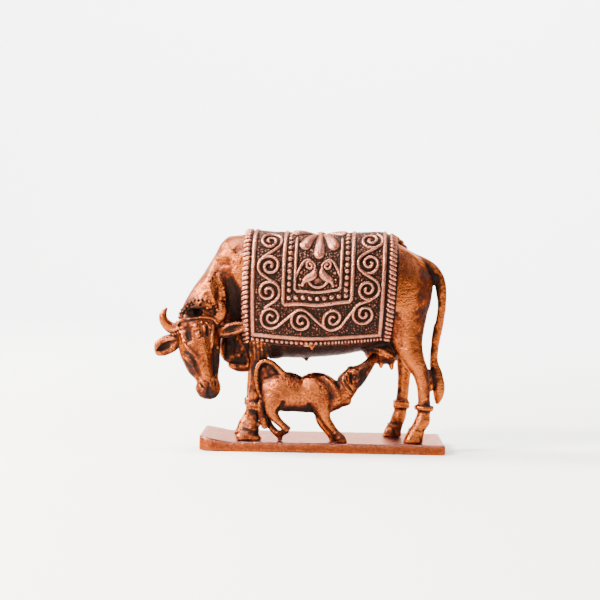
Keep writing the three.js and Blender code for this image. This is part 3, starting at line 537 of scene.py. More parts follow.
TAIL = [[30, MIDDLE, 66.6, 2.2, 1.8], [34, MIDDLE, 65.7, 1.9, 1.6], [37.5, MIDDLE, 63.7, 1.8, 1.6],
        [39.8, MIDDLE, 60.4, 1.7, 1.8], [40.6, MIDDLE, 56, 1.7, 1.9], [40.6, MIDDLE, 50, 1.6, 1.8],
        [39.9, MIDDLE, 44, 1.4, 1.7], [38.8, MIDDLE, 36.6, 1.3, 1.5], [38.6, MIDDLE, 31.4, 1.3, 1.4],
        [39.4, MIDDLE, 27, 1.8, 2.1], [40.3, MIDDLE, 23, 1.9, 2.2], [40.4, MIDDLE, 19.6, 1.7, 1.9],
        [40, MIDDLE, 16.4, 0.5, 0.7]]
TAIL_GAP = [[37.9, MIDDLE, 57.6, 8, 0.2], [38, MIDDLE, 54, 8, 1.0], [38.1, MIDDLE, 50, 8, 1.4],
            [37.6, MIDDLE, 45, 8, 1.2]]
TAIL_WEB = [[35, -8, 27, 1.6, 2.4], [36.8, -5.4, 26, 1.4, 2.6], [38.6, MIDDLE, 25.4, 1.4, 2.4]]
BELLY_SWELL = (-17, -6, 33.2)
COLLAR_HOLLOW = (-44.6, -14.5, 47.6)
NAVEL = [[-6.6, -4, 33.4, 2, 1.6], [-5.8, -4, 30.8, 0.9, 0.6]]
TEATS = [[[23.4, -5.4, 32], [23.8, -5.6, 28.6]], [[20, -7.4, 32.4], [20, -7.4, 29.2]],
         [[23.6, -0.6, 32.6], [23.6, -0.6, 29]]]
ANKLET_HEIGHT = 15.4
ANKLET_BEADS = 22
TASSELS, TASSEL_BEADS = 6, 6
COLLAR_SHARE = 0.68


def station_at(stations, height):
    """Station of a leg at a height above the ground."""
    line = smooth_line(stations, 12)
    return line[np.argmin(np.abs(line[:, 2] - height))]


def hoof(field, leg):
    """Cloven hoof, with its coronet and dewclaws, at a leg's last stations."""
    (x, y, z, _, _), (upper_x, _, upper_z, _, _) = leg[-1], leg[-2]
    lean = (upper_x - x) / (upper_z - z)
    for side in (-1, 1):
        limb(field, [[x + lean * 4, y + side * 1.1, z + 4, 1.3, 2.2],
                     [x + 0.2, y + side * 1.3, z + 1.4, 1.5, 2.9],
                     [x - 0.1, y + side * 1.4, z - 1, 1.6, 3.7]], reach=0.25, dome=0.3)
        lump(field, (x + lean * 6.6 + 2.1, y + side * 1.1, z + 6), (0.9, 0.8, 1.0), 0.3)
    coronet = (x + lean * 4.6, y, z + 4.6)
    ring(field, coronet, (lean, 0, 1), (2.5, 2.7), 0.25, 0.4)
    limb(field, [[x - 4.2, y, z - 0.4, 0.2, 0.6], [x - 2.6, y, z + 3.2, 0.25, 0.7]], reach=0.4, cut=True)
    if leg is NEAR_FORELEG:
        lump(field, (x - 2, y - 1.2, z + 1.4), (2.2, 1.8, 1.8), 0.8)
        lump(field, (x + 2.8, y - 1.2, z + 1), (1.9, 1.6, 1.5), 0.6)


def anklets(field):
    """Two rings on three of the legs, and a ring of upright beads on the near hind leg."""
    for leg in (NEAR_FORELEG, FAR_FORELEG, FAR_HIND_LEG):
        x, y, z, wide, deep = station_at(leg, ANKLET_HEIGHT)
        for rise in (-0.85, 0.5):
            ring(field, (x, y, z + rise), (0.05, 0, 1), (wide + 0.1, deep + 0.1), 0.75, 0.25)
    x, y, z, wide, deep = station_at(NEAR_HIND_LEG, ANKLET_HEIGHT)
    ring(field, (x, y, z), (0.1, 0, 1), (wide + 0.2, deep + 0.2), 0.95, 0.3)
    for turn in np.linspace(0, 2 * math.pi, ANKLET_BEADS, endpoint=False):
        centre = (x + (deep + 0.95) * math.cos(turn), y + (wide + 0.95) * math.sin(turn), z)
        lump(field, centre, (0.34, 0.34, 0.95), 0.12)


def udder(field):
    """Udder with three teats, and a double string of beads that runs down to it from the hem."""
    lump(field, (20.6, -4, 34), (6.2, 6, 4.2), 2.0)
    lump(field, (17.7, -5.4, 33), (2.6, 4, 2.2), 1.2)
    for root, tip in TEATS:
        limb(field, [[*root, 1.4, 1.4], [*tip, 0.75, 0.75]], reach=0.8)
    rope = spaced([[13.4, 35.6], [16, 35.9], [18.3, 35.5], [20.7, 34.8], [22.8, 33.8], [24.6, 32.7]], 1.1)
    studded(field, rope, 0.62)
    studded(field, rope[1:-2] - [0.4, 1.3], 0.5)


def tail(field):
    """Tail with the gap between it and the rump, its tuft, and the web that ties it to the hock."""
    limb(field, TAIL, reach=1.6)
    limb(field, TAIL_GAP, reach=0.6, cut=True)
    lump(field, (37.4, MIDDLE, 60.8), (1.2, 1.8, 1.6), 0.8)
    limb(field, TAIL_WEB, reach=0.8, across=ALONG)
    lump(field, (37.3, -5, 22.8), (1.2, 2.2, 2.2), 0.8)


def cow():
    """Neck, torso, legs, udder and tail, up to the collar."""
    field = Field((-45.5, -18.6, 2.9), (43.2, 13.2, 76), COW_CELL)
    torso(field)
    limb(field, part_of(NECK, 0, COLLAR_SHARE + 0.06), reach=4.0, steps=1)
    limb(field, BRISKET, reach=3.5)
    for leg in LEGS:
        limb(field, leg, reach=2.4, dome=0.4)
    for leg in LEGS:
        hoof(field, leg)
    anklets(field)
    tail(field)
    lump(field, BELLY_SWELL, (3.2, 4, 2), 1.2)
    lump(field, COLLAR_HOLLOW, (5, 4, 2.8), 0.5, cut=True)
    udder(field)
    limb(field, NAVEL, reach=0.8)
    muscles(field)
    neck_folds(field)
    dewlap(field)
    tassels(field)
    hem_pendant(field)
    far_border(field)
    above_the_ground(field)
    return field


def muscles(field):
    """Hip and shoulder swell out, and the flank is hollow."""
    lump(field, (26.5, -9.8, 62), (5, 3.0, 6.5), 3.5)
    lump(field, (26.5, 3.8, 62), (5, 3.0, 6.5), 3.5)
    lump(field, (-31.6, -5, 67.2), (5.6, 7.6, 6.2), 2.4)
    flank = [[23.5, -15.2, 47, 0.3, 0.8], [24.6, -14.6, 41, 0.4, 1.2], [25.4, -13.2, 37, 0.3, 0.8]]
    limb(field, flank, reach=2.6, cut=True)
    shoulder = [[-28.4, -13.4, 66, 1, 3.0], [-27.6, -13.6, 59, 1.2, 3.4], [-26.6, -12.6, 51, 1, 3]]
    limb(field, shoulder, reach=3.0)


def neck_folds(field):
    """Ridges of skin on the near side of the neck, and the deep fold behind it."""
    fold(field, [(-32, 68.4, 0.3), (-35.2, 66.4, 0.7), (-37.6, 63.9, 0.8), (-38.6, 60.1, 0.7),
                 (-39.9, 57, 0.4)], 3, 0.2)
    groove(field, [(-34.4, 60.8, 0.1), (-33.2, 58.6, 0.7), (-32, 55.6, 1.4), (-31.2, 51.6, 2),
                   (-30.8, 47.5, 2.2), (-30.8, 42, 2.2)], 3, -0.8)
    groove(field, [(-36.4, 56, 0.2), (-36.4, 54, 0.4), (-36.2, 52, 0.4), (-36, 50.4, 0.2)], 0.8)
    fold(field, [(-39.2, 57, 0.4), (-38.6, 54.6, 0.75), (-38, 52.4, 0.7), (-37.8, 50.8, 0.4)], 0.6)
    for x, z in spaced([[-36.2, 60], [-35.2, 57], [-34.5, 54.2], [-34.2, 50.6]], 1.45):
        boss(field, x, z, (1.0, 0.9, 0.72), 0.3, 0.3)
    for x, z in ((-40.4, 54.6), (-41.4, 53.2), (-39.8, 52.4)):
        fold(field, [(x - 0.8, z - 0.7, 0.2), (x, z, 0.4), (x + 0.8, z, 0.2)], 0.5)


def dewlap(field):
    """Lobes of loose skin under the chest, with dark hollows between them."""
    boss(field, -33, 35.4, (1.8, 1.4, 2.4), 0.8, 0.7)
    boss(field, -33.8, 31.6, (1.4, 1.4, 1.8), 0.6, 1.0)
    boss(field, -30, 28.8, (3.2, 1.6, 1.8), 0.8, 1.2)
    fold(field, [(-29.8, 40, 0.6), (-28, 36.4, 1.0), (-26.6, 32.4, 1.0), (-26, 29, 0.7)], 1.0)
    fold(field, [(-30.6, 32.8, 0.35), (-29.4, 32.4, 0.6), (-28.4, 33.4, 0.5), (-28.2, 35, 0.3)])
    groove(field, [(-31.6, 37.6, 0.2), (-31.2, 35.2, 0.4), (-31.6, 33, 0.3)], 1.4)
    groove(field, [(-31.6, 30.2, 0.2), (-29.4, 30.2, 0.4), (-27.2, 29.9, 0.3)], 1.4)
    lump(field, (-34.6, -6.5, 35), (1.4, 3.6, 4), 0.8)


def tassels(field):
    """Beaded strands that hang from the hem over the top of the near foreleg."""
    for i in range(TASSELS):
        x = -25.2 + 1.3 * i
        for k in range(TASSEL_BEADS):
            boss(field, x + 0.1 * k, 37.2 - 1.1 * k, (0.5, 0.55, 0.62), 0.1, -0.1)


def hem_pendant(field):
    """Small forked drop under the middle of the hem."""
    limb(field, [[-4.0, -15.0, 37.8, 0.6, 1.7], [-3.9, -15.0, 35.3, 0.5, 0.3]], reach=0.2)
    for x in (-5.0, -2.8):
        limb(field, [[x, -15.7, 37.4, 0.3, 0.3], [-3.9, -15.5, 35.4, 0.3, 0.3]], reach=0.15)


def far_border(field):
    """Lumpy edge of the blanket's rear border, which shows over the rump."""
    for x, y, z in ((24.6, -1, 73.4), (26.2, 0.5, 72.2), (27.4, 2, 70.6), (28, 3.6, 69)):
        lump(field, (x, y, z), (1.5, 1.6, 1.3), 0.6)


def part_of(stations, first, last):
    """Smooth stations between two shares of the way along a limb."""
    line = smooth_line(stations, 12)
    return line[int(first * (len(line) - 1)):int(last * (len(line) - 1)) + 1]


def above_the_ground(field):
    """Cuts the field off flat at the ground."""
    where, (x, y, z) = field.window((-80, -40, 0), (80, 40, GROUND + 3))
    field.value[where] = np.maximum(field.value[where], GROUND - z + 0 * x + 0 * y)


# Head

HEAD = [[-43.3, -11.6, 46, 6.2, 4.2], [-43, -12.2, 42.5, 6.9, 5.6], [-42.8, -13, 38, 7.4, 6.2],
        [-42.2, -13.8, 33.5, 6.8, 5.4], [-40.8, -14.8, 28.5, 4.9, 4.4], [-39.5, -15.6, 24.5, 3.8, 3.5],
        [-39.1, -16, 21.6, 4.3, 3.7], [-39.1, -16, 20.0, 3.6, 3]]
LEFT_HORN = [[-47, -12, 41.7, 2.3, 2.3], [-51.4, -12.4, 41.3, 2.1, 2.1], [-54.5, -12.6, 43.4, 1.7, 1.7],
             [-55.3, -12.6, 46.2, 1.3, 1.3], [-54, -12.6, 48.4, 0.4, 0.4]]
RIGHT_HORN = [[-39, -13, 43.8, 2.2, 2.2], [-36.6, -13.4, 45.2, 2.2, 2.2], [-35, -13.8, 48, 2, 2],
              [-35.6, -13.8, 50.5, 1.5, 1.5], [-37.4, -13.6, 52, 0.5, 0.5]]
LEFT_EAR = [[-48.5, -11, 38.6, 1.4, 1.2], [-52, -11, 36.7, 1.5, 3.1], [-55.6, -11.2, 34.9, 1.2, 3.2],
            [-57.8, -11.4, 34, 0.8, 2.2]]
RIGHT_EAR = [[-37.5, -12, 39.8, 1.4, 1.2], [-34, -13, 41, 1.5, 2.4], [-30, -13.8, 42.1, 1.3, 2.4],
             [-26.4, -14.2, 43.2, 0.7, 1.1]]
HEADBAND_HALF = 0.62
NAPE_LOW, NAPE_RISE = 45.6, 3.4
HEADBAND = [[-50.2, 43.3], [-48.8, 44.3], [-46.5, 45], [-43.7, 45.6], [-40.7, 45.8], [-38, 45.2],
            [-36.3, 43.7]]
COLLAR = [[-49.6, 45.4], [-49.3, 46.9], [-48.5, 48.3], [-47.4, 49.5], [-46.1, 50.5], [-44.4, 51.2],
          [-42.5, 51.6], [-40.6, 51.4], [-38.9, 50.9], [-37.4, 49.8], [-36.4, 48.2]]
INNER_COLLAR = [[-48.4, 47.3], [-47.1, 48.8], [-45.5, 49.7], [-43.8, 50.1], [-42, 50], [-40.2, 49.2],
                [-38.6, 48]]


def ears(field):
    """Leaf-shaped ears with a deep hollow between their rims."""
    limb(field, LEFT_EAR, reach=0.9)
    limb(field, RIGHT_EAR, reach=0.9)
    groove(field, [(-50.8, 37.2, 0.3), (-53.2, 36, 1.1), (-55.4, 34.7, 1.2), (-57.2, 33.8, 0.4)], 0.3)
    groove(field, [(-36, 40.1, 0.4), (-33, 41.2, 1.0), (-30.2, 42.1, 1.1), (-27.2, 43, 0.5)], 0.3)


def brows_and_eyes(field):
    """Brows, the left eye between its lids, and the right brow and eye, which show from the side."""
    fold(field, [(-48.4, 40.6, 0.4), (-47.6, 37.6, 0.6), (-46, 35.3, 0.65), (-44.2, 33.6, 0.6),
                 (-42.8, 32.4, 0.3)], 0.6)
    groove(field, [(-47.4, 33.9, 0.3), (-45.9, 32.9, 0.55), (-44.5, 31.7, 0.5),
                   (-43.3, 30.4, 0.2)], 0.5, -0.1)
    boss(field, -45.4, 32.5, (0.9, 0.6, 0.5), 0.15, 0.3)
    fold(field, [(-47.6, 32.2, 0.3), (-45.8, 30.9, 0.45), (-44.3, 29.4, 0.3)])
    fold(field, [(-37.7, 43, 0.5), (-37.8, 40.4, 0.7), (-37.9, 37.8, 0.7), (-38, 35.6, 0.4)], 0.5)
    boss(field, -36.2, 35.4, (0.8, 1.0, 0.8), 0.3)


def nose(field):
    """Broad bridge that falls away steeply on its right, hollow cheeks, and streaks in the jaw's skin."""
    fold(field, [(-41.2, 37.6, 1.2), (-40.7, 34.1, 1.6), (-40.3, 30.7, 1.6), (-39.9, 27.4, 1.3),
                 (-39.5, 25.2, 1.0)], 1.0, 0.6)
    groove(field, [(-37, 35.6, 0.3), (-36.6, 32.2, 0.7), (-36.5, 29, 0.7), (-36.8, 26.4, 0.3)], 2.0, 0.1)
    groove(field, [(-43.6, 30.2, 0.2), (-42.9, 28, 0.5), (-42.1, 25.8, 0.4)], 1.4, 0.1)
    for i in range(3):
        groove(field, [(-47 + 0.9 * i, 30.8 - 0.5 * i, 0.15), (-45.6 + 0.8 * i, 28 - 0.5 * i, 0.2),
                       (-44 + 0.7 * i, 25.4 - 0.4 * i, 0.15)], 0.7, -0.1)


def muzzle(field):
    """Nostrils, the folds over them, and the groove down the middle."""
    for marks in ([(-41.6, 23.2, 0.2), (-41, 22.4, 0.45), (-40.2, 21.8, 0.25)],
                  [(-36.9, 24.3, 0.25), (-36.3, 23.5, 0.45), (-36.5, 22.5, 0.2)]):
        groove(field, marks, 0.3, 0.1)
    for marks in ([(-42.1, 23.9, 0.2), (-41.2, 24, 0.45), (-40, 23, 0.3)],
                  [(-37.6, 24.9, 0.3), (-36.4, 25, 0.4), (-35.5, 23.8, 0.25)]):
        fold(field, marks)
    groove(field, [(-38.6, 23.4, 0.15), (-38.6, 21.6, 0.35), (-38.6, 19.2, 0.6)], 0.8)


def face(field):
    """Jaw, brows, eyes, nose and muzzle."""
    lump(field, (-44.2, -14.2, 30), (2.4, 3.2, 4), 2.0)
    lump(field, (-37, -14, 30), (1.5, 3, 5), 1.0)
    nose(field)
    brows_and_eyes(field)
    muzzle(field)


def horns(field):
    """Horns, with rings around their roots."""
    for horn in (LEFT_HORN, RIGHT_HORN):
        limb(field, horn, reach=0.6, steps=6)
    for i in range(3):
        x = -47.4 - 1.3 * i
        ring(field, (x, -12.2, 41.6), (1, 0, 0.1 * i), (2.35 - 0.1 * i, 2.35 - 0.1 * i), 0.5, 0.2)
    ring(field, (-37.2, -12.8, 44.7), (1, 0, 0.45), (2.3, 2.3), 0.55, 0.2)


def forehead(field):
    """Headband, a row of beads from the left horn, and bosses on the forehead."""
    fold(field, [(x, z, HEADBAND_HALF) for x, z in HEADBAND], 0.3)
    chain = spaced([[-51.3, 40.9], [-49.8, 41.4], [-48.2, 42], [-46.8, 42.5]], 0.95)
    studded(field, chain, 0.6, sink=-0.1)
    studded(field, chain[:4] - [0.3, 1.4], 0.5, sink=-0.1)
    groove(field, [(-46.4, 42.6, 0.4), (-46.1, 40.2, 0.8), (-45.6, 37.8, 0.4)], 1.2, 0.1)
    for x, z, wide, tall in ((-43.5, 42.3, 1.5, 1.4), (-42.4, 39.9, 1.2, 1.4), (-41, 38, 0.9, 1.2),
                             (-40.6, 41.8, 0.7, 1.7)):
        boss(field, x, z, (wide, 0.9, tall), 0.25, 0.15)
    studded(field, [(-38.7, 42.2), (-38.9, 40.9), (-41.4, 43.9), (-39.8, 43.7)], 0.5)
    groove(field, [(-39.7, 42.6, 0.25), (-39.7, 41, 0.4), (-39.5, 39.4, 0.2)], 0.6, 0.1)


def collar(field):
    """Deep hollow behind the headband under two rows of beads, which also go around the back of the neck."""
    boss(field, -45.3, 47.2, (4.1, 2.8, 1.7), 0.4, -0.4, cut=True)
    boss(field, -42.8, 47.4, (2.0, 2.0, 1.4), 0.4, -0.4, cut=True)
    groove(field, [(-48.4, 45.4, 0.4), (-47.4, 48, 0.5), (-45, 49.9, 0.5), (-42, 50.6, 0.5),
                   (-38.8, 49.6, 0.4)], 0.3, 0.1)
    studded(field, spaced(COLLAR, 1.4), 0.6, 0.05, -0.25)
    studded(field, spaced(INNER_COLLAR, 1.35), 0.55, 0.05, -0.2)
    stud = facing(field, -41.9, 50)
    lump(field, stud, (1.3, 0.8, 1.3), 0.1)
    lump(field, stud - ACROSS * 0.7, (0.6, 0.7, 0.6), 0.1, cut=True)
    for turn in np.radians(np.arange(8, 172, 9)):
        height = NAPE_LOW + NAPE_RISE * (1 + math.cos(turn)) / 2
        place = hit(field, (-43.2, -10.8, height), (math.cos(turn), math.sin(turn), 0))
        lump(field, place, (0.64,) * 3, 0.15)


def head():
    """Head and the last of the neck, which meets the cow's under the collar."""
    field = Field((-58.8, -20.6, 16), (-25.2, -2.5, 57.5), FINE_CELL)
    limb(field, part_of(NECK, COLLAR_SHARE - 0.03, 1), reach=2.0, steps=1)
    limb(field, HEAD, reach=1.6, across=ALONG, steps=6)
    ears(field)
    horns(field)
    face(field)
    forehead(field)
    collar(field)
    return field


# Calf

CALF = -12.0
CALF_BODY = [[-19.6, CALF, 20.6, 2.8, 4.2], [-16, CALF, 20.4, 4.1, 6.2], [-12, CALF, 20.4, 4.2, 6.9],
             [-7, CALF, 19.5, 4, 6.1], [-2.4, CALF, 20.2, 4.4, 7.2], [1.6, CALF, 19.4, 4, 6.2],
             [4.4, CALF, 19, 3, 4.2]]
CALF_NECK = [[1, CALF, 18.8, 3.6, 5], [4.4, CALF, 19, 3.2, 4.2], [7, CALF, 20.9, 2.9, 3.9],
             [8.8, CALF, 23.2, 2.6, 3.6]]
CALF_HEAD = [[8.6, CALF, 24, 2.8, 3.6], [10.6, CALF, 25.7, 3, 3.9], [12.6, CALF, 27.2, 2.6, 3.1],
             [14.4, -11.8, 28.9, 2.1, 2.3], [16.2, -10.6, 31, 1.8, 1.8], [18, -8.8, 33, 1.5, 1.6]]
CALF_EAR = [[8.2, -14.9, 27.2, 0.7, 0.7], [8.1, -15.4, 25.8, 0.6, 0.9], [8.5, -15.4, 24.2, 0.45, 0.5]]
CALF_FAR_EAR = [[8.2, -10.4, 27.6, 0.8, 0.8], [6.3, -10, 25.2, 0.7, 1.2], [5.2, -9.8, 24, 0.4, 0.5]]
CALF_LEGS = [
    [[-0.6, -13.6, 18.4, 2, 3], [0.5, -13.8, 13.6, 1.8, 2.1], [1.8, -13.8, 10.6, 1.5, 1.6],
     [4.2, -13.8, 7.4, 1.3, 1.3], [6.2, -13.8, 5, 1.5, 1.6], [7.1, -13.8, 3, 1.5, 1.8]],
    [[-1.6, -10.4, 17, 2, 2.6], [-1, -10, 12.4, 1.6, 1.7], [-0.1, -10, 9.6, 1.4, 1.5],
     [2.1, -10, 6.8, 1.2, 1.3], [3.7, -10, 4.8, 1.4, 1.5], [4.5, -10, 3, 1.4, 1.8]],
    [[-16.6, -13.6, 18.4, 2.6, 3.6], [-17.2, -13.9, 14.3, 1.9, 2.4], [-16.2, -13.9, 11.6, 1.5, 1.7],
     [-14, -13.9, 9.5, 1.2, 1.3], [-11.9, -13.9, 7.4, 1.4, 1.5]],
    [[-18, -10.4, 18, 2.6, 3.4], [-19.2, -10.2, 12.6, 1.6, 1.7], [-18.5, -10.2, 9.3, 1.2, 1.2],
     [-16.6, -10.4, 6.8, 1.1, 1.1], [-14.8, -10.8, 5.3, 1.3, 1.3]],
]
CALF_TAIL = [[-12.6, -13.2, 25.8, 1.1, 1.2], [-14.2, -13.8, 27.2, 1, 1.1], [-16, -14, 29.2, 1, 0.95],
             [-17.9, -14, 30.6, 1, 0.95], [-19.9, -14, 31.1, 1, 0.95], [-21.7, -14, 30.2, 1, 0.9],
             [-22.7, -14, 28.4, 0.9, 0.85], [-22.9, -14, 26, 0.9, 0.75], [-22.6, -14.2, 23.4, 0.8, 0.65],
             [-22, -14.4, 20.8, 0.7, 0.6], [-21.2, -14.2, 18.6, 0.5, 0.4]]
CALF_TO_LEG = [[-20.6, CALF, 25.6, 1, 1.6], [-21.2, CALF, 21.6, 1, 1.5], [-20.6, CALF, 17, 0.9, 1]]
CALF_TUFT = [[-21.6, -12.6, 16.4, 0.9, 1.0], [-20.8, -12.4, 12.4, 1.1, 1.4], [-19.6, -12, 8.2, 1.0, 1.2]]
CALF_HOOF_WEB = [[-14.8, -10.8, 5.6, 1.2, 1.1], [-12.4, -13.6, 7, 1.1, 1.1]]
CALF_PEG = [[-14.4, -11.6, 5.6, 0.8, 0.8], [-14.4, -11.6, 3, 0.9, 0.9]]


def calf():
    """Calf, with its tail curled up and the muzzle at the udder."""
    field = Field((-24.4, -17, 2.9), (20.6, -6, 37), FINE_CELL)
    limb(field, CALF_BODY, reach=1.5)
    limb(field, CALF_NECK, reach=1.8)
    limb(field, CALF_HEAD, reach=0.9)
    for leg in CALF_LEGS:
        limb(field, leg, reach=1.4, dome=0.5)
    lump(field, (-18.8, CALF - 0.8, 27.4), (3.6, 1, 3.2), 0.6)
    for x, z, half in ((-20.4, 28, 1.0), (-18.4, 29, 1.1), (-17.4, 27.2, 0.9), (-19.6, 26.2, 0.9)):
        boss(field, x, z, (half, 0.7, half), 0.5, 0.3)
    limb(field, CALF_TAIL, reach=0.5)
    limb(field, CALF_TO_LEG, reach=0.8)
    limb(field, CALF_TUFT, reach=0.9)
    calf_head(field)
    calf_folds(field)
    limb(field, CALF_HOOF_WEB, reach=0.6, across=ALONG)
    limb(field, CALF_PEG, reach=0.5)
    above_the_ground(field)
    return field


def calf_folds(field):
    """Folds at the neck and shoulder, and the creases over the legs."""
    groove(field, [(-0.6, 25.6, 0.2), (1.7, 23.4, 0.4), (2.9, 20.6, 0.5), (3.2, 17.8, 0.4),
                   (2.6, 15.4, 0.2)], 1.4)
    fold(field, [(0.9, 26, 0.3), (3.1, 23.8, 0.6), (4.9, 21.2, 0.6), (5.6, 18.8, 0.4)], 0.8, 0.1)
    groove(field, [(4.9, 23.6, 0.4), (5.9, 22.5, 0.3)], 0.3)
    groove(field, [(-4.6, 16.4, 0.1), (-3.6, 14.4, 0.2), (-2.6, 13, 0.1)], 1.4, 0.1)
    groove(field, [(-13.4, 17, 0.1), (-14.2, 15.2, 0.2), (-15.4, 13.8, 0.1)], 1.4, 0.1)
    for x, z in ((4.6, 6.8), (5.8, 5.2)):
        fold(field, [(x - 0.9, z - 0.6, 0.25), (x, z, 0.35), (x + 0.7, z + 0.4, 0.25)], 0.25)


def calf_head(field):
    """Ears, eye, strap around the neck, mouth and bell."""
    limb(field, CALF_EAR, reach=0.3)
    limb(field, CALF_FAR_EAR, reach=0.4)
    lump(field, (9.4, CALF + 0.6, 28.8), (1.2, 1.4, 0.9), 0.5)
    groove(field, [(8.2, 26.6, 0.2), (8.2, 25.6, 0.35), (8.5, 24.6, 0.2)], 0.2, 0.1)
    boss(field, 10.8, 26, (0.9, 0.6, 1.15), 0.2, cut=True)
    boss(field, 10.8, 26, (0.5, 0.5, 0.6), 0.1)
    fold(field, [(10.2, 28.6, 0.3), (11.7, 28, 0.5), (12.2, 26.4, 0.4), (11.6, 24.4, 0.3)])
    groove(field, [(9.6, 27.4, 0.2), (9.5, 25.6, 0.4), (9.9, 23.8, 0.2)], 0.3, 0.1)
    groove(field, [(13.6, 26.8, 0.2), (15.2, 28.8, 0.3), (16.4, 30.2, 0.2)], 0.3)
    fold(field, [(6.6, 24.9, 0.35), (8, 22.5, 0.45), (9.6, 20, 0.4)], 0.15)
    groove(field, [(7.5, 25.2, 0.2), (8.9, 22.9, 0.25), (10.4, 20.4, 0.2)], 0.15)
    lump(field, (7.9, CALF, 17.4), (1.9, 1.6, 1.5), 1.0)


# Blanket

BLANKET_FRONT, BLANKET_REAR = -27.6, 25.4
BLANKET_THICKNESS = 1.2
EDGE_ROUNDING, EDGE_DEPTH = 0.5, 2.4
ABOVE_THE_FLANK = 12
HEM = profile([[-30, 36.9], [-4, 36.2], [24, 38.6]])
SECTION_TURNS, SECTION_COLUMNS = 240, 120
RAILS = (-23.5, 20.6)
EDGE_BEADS = (-26.1, 23.5)
EDGE_BEAD_TURNS = (0.2, -0.12)
EDGE_BEAD_PITCH = 1.62
HEM_PENDANT = -4.6
RAIL_RISE = profile([[-28, 4.1], [-8, 3.4], [26, 3.2]])
HEM_BEAD_RISE = profile([[-28, 2.3], [-8, 1.6], [26, 1.4]])
PANEL_MIDDLE = -1.5
PANEL_TILT = 0.04
PANEL_BEADS = (9.65, 30.4)
PANEL_FRAMES = ((11.6, 32.6, 0.75, 0.0), (7.7, 28.2, 0.6, 9.0))
SCROLL_CENTRES = [[-18.2, 10.4], [-17.9, 19.8], [-18.2, 28.6], [-17.0, 37.2], [-6.6, 38.6], [4.2, 37.6],
                  [14.7, 36.4], [15.4, 28], [15.6, 19.2], [15.9, 10.1]]
SCROLL_RADIUS, SCROLL_TURNS, SCROLL_RIM, SCROLL_EYE = 3.85, 1.75, 0.14, 0.17
SCROLL_STEM = (0.58, 0.85)
ROSETTE_REACH = (10.2, 18.2)
PETALS = 10
RIDGE_PITCH, RIDGE_PART = 0.1, 40
# Amount, pitch and shift of the seed of each layer of pebbles
PEBBLES = ((0.36, 0.8, 0), (0.12, 0.5, 5))
CHANNEL_EDGE = (1.5, 2.2)
SCROLL_GROUND, SCROLL_EDGE = 0.35, (2.8, 3.8)
SHEET_NOISE = ((0.03, 0.5, 3),)
LOWEST_CARVING = 0.02
# Wear of the ground and of the raised carving, and the painted highlight on its crests
LEAST_WEAR, HEIGHT_WEAR, CREST_HIGHLIGHT = 0.02, 0.68, 1.9
WORN_FROM, CREST_REACH = (0.1, 0.75), 3


class Sheet:
    """Height of the blanket's carving over its flat ground, on a grid of places along and down."""

    def __init__(self, first_drop, cell, last_drop):
        self.cell = cell
        columns = int(round((BLANKET_REAR - BLANKET_FRONT) / cell)) + 1
        self.along = np.linspace(BLANKET_FRONT, BLANKET_REAR, columns)
        self.depth = np.linspace(first_drop, last_drop, int(round((last_drop - first_drop) / cell)) + 1)
        self.height = np.zeros((len(self.depth), columns))
        self.hem = hem_drop(self.along)

    def window(self, low, high):
        """Slices of the grid between two flat places, and the places there."""
        a = np.searchsorted(self.along, [low[0], high[0]])
        d = np.searchsorted(self.depth, [low[1], high[1]])
        where = (slice(d[0], d[1]), slice(a[0], a[1]))
        return where, self.along[None, where[1]], self.depth[where[0], None]

    def raise_to(self, where, height):
        """Raises the ground there where it is lower."""
        self.height[where] = np.maximum(self.height[where], height)

    def ridge(self, line, half, height, sharp=0.6):
        """Rounded ridge along a line of flat places."""
        line = np.array(line, float)
        dense = at_lengths(line, np.arange(0, lengths_of(line)[-1] + RIDGE_PITCH / 2, RIDGE_PITCH))
        for i in range(0, len(dense), RIDGE_PART):
            part = dense[i:i + RIDGE_PART + 1]
            where, along, depth = self.window(part.min(0) - half, part.max(0) + half)
            far = (along[..., None] - part[:, 0]) ** 2 + (depth[..., None] - part[:, 1]) ** 2
            self.raise_to(where, height * np.clip(1 - far.min(-1) / half ** 2, 0, 1) ** sharp)

    def mound(self, centre, halves, height, turned, shape):
        """Raises a form whose shape is worked out from the place in its own half sizes."""
        pad = max(halves) + self.cell
        where, along, depth = self.window(np.array(centre) - pad, np.array(centre) + pad)
        dx, dy = along - centre[0], depth - centre[1]
        u = (dx * math.cos(turned) + dy * math.sin(turned)) / halves[0]
        v = (dy * math.cos(turned) - dx * math.sin(turned)) / halves[1]
        self.raise_to(where, height * shape(u, v))

    def dome(self, centre, halves, height, sharp=0.6):
        """Rounded dome. A lower sharp makes it fuller."""
        self.mound(centre, halves, height, 0.0, lambda u, v: np.clip(1 - u ** 2 - v ** 2, 0, 1) ** sharp)

    def bar(self, centre, halves, height, turned):
        """Bead that is drawn out into a bar with blunt ends."""
        self.mound(centre, halves, height, turned, lambda u, v: np.clip(1 - u ** 4 - v ** 2, 0, 1) ** 0.5)


def torso_point(x, turn, lift):
    """Point of the torso's section, turned down from the spine on the near side."""
    half = (BACK(x) - BELLY(x)) / 2
    power = 2 / SQUARENESS
    y = MIDDLE - np.sin(turn) ** power * (HALF_WIDTH(x) + lift)
    z = BELLY(x) + half + np.sign(np.cos(turn)) * np.abs(np.cos(turn)) ** power * (half + lift)
    return np.stack([x + 0 * turn, y, z], -1)


def section_table(x):
    """The section's turns, its points at each x, and the way down to each from the spine."""
    turns = np.linspace(0, math.pi, SECTION_TURNS)
    points = torso_point(x[:, None], turns[None, :], BLANKET_THICKNESS)
    ways = np.linalg.norm(np.diff(points, axis=1), axis=-1)
    return points, np.concatenate([np.zeros((len(x), 1)), np.cumsum(ways, axis=1)], 1)


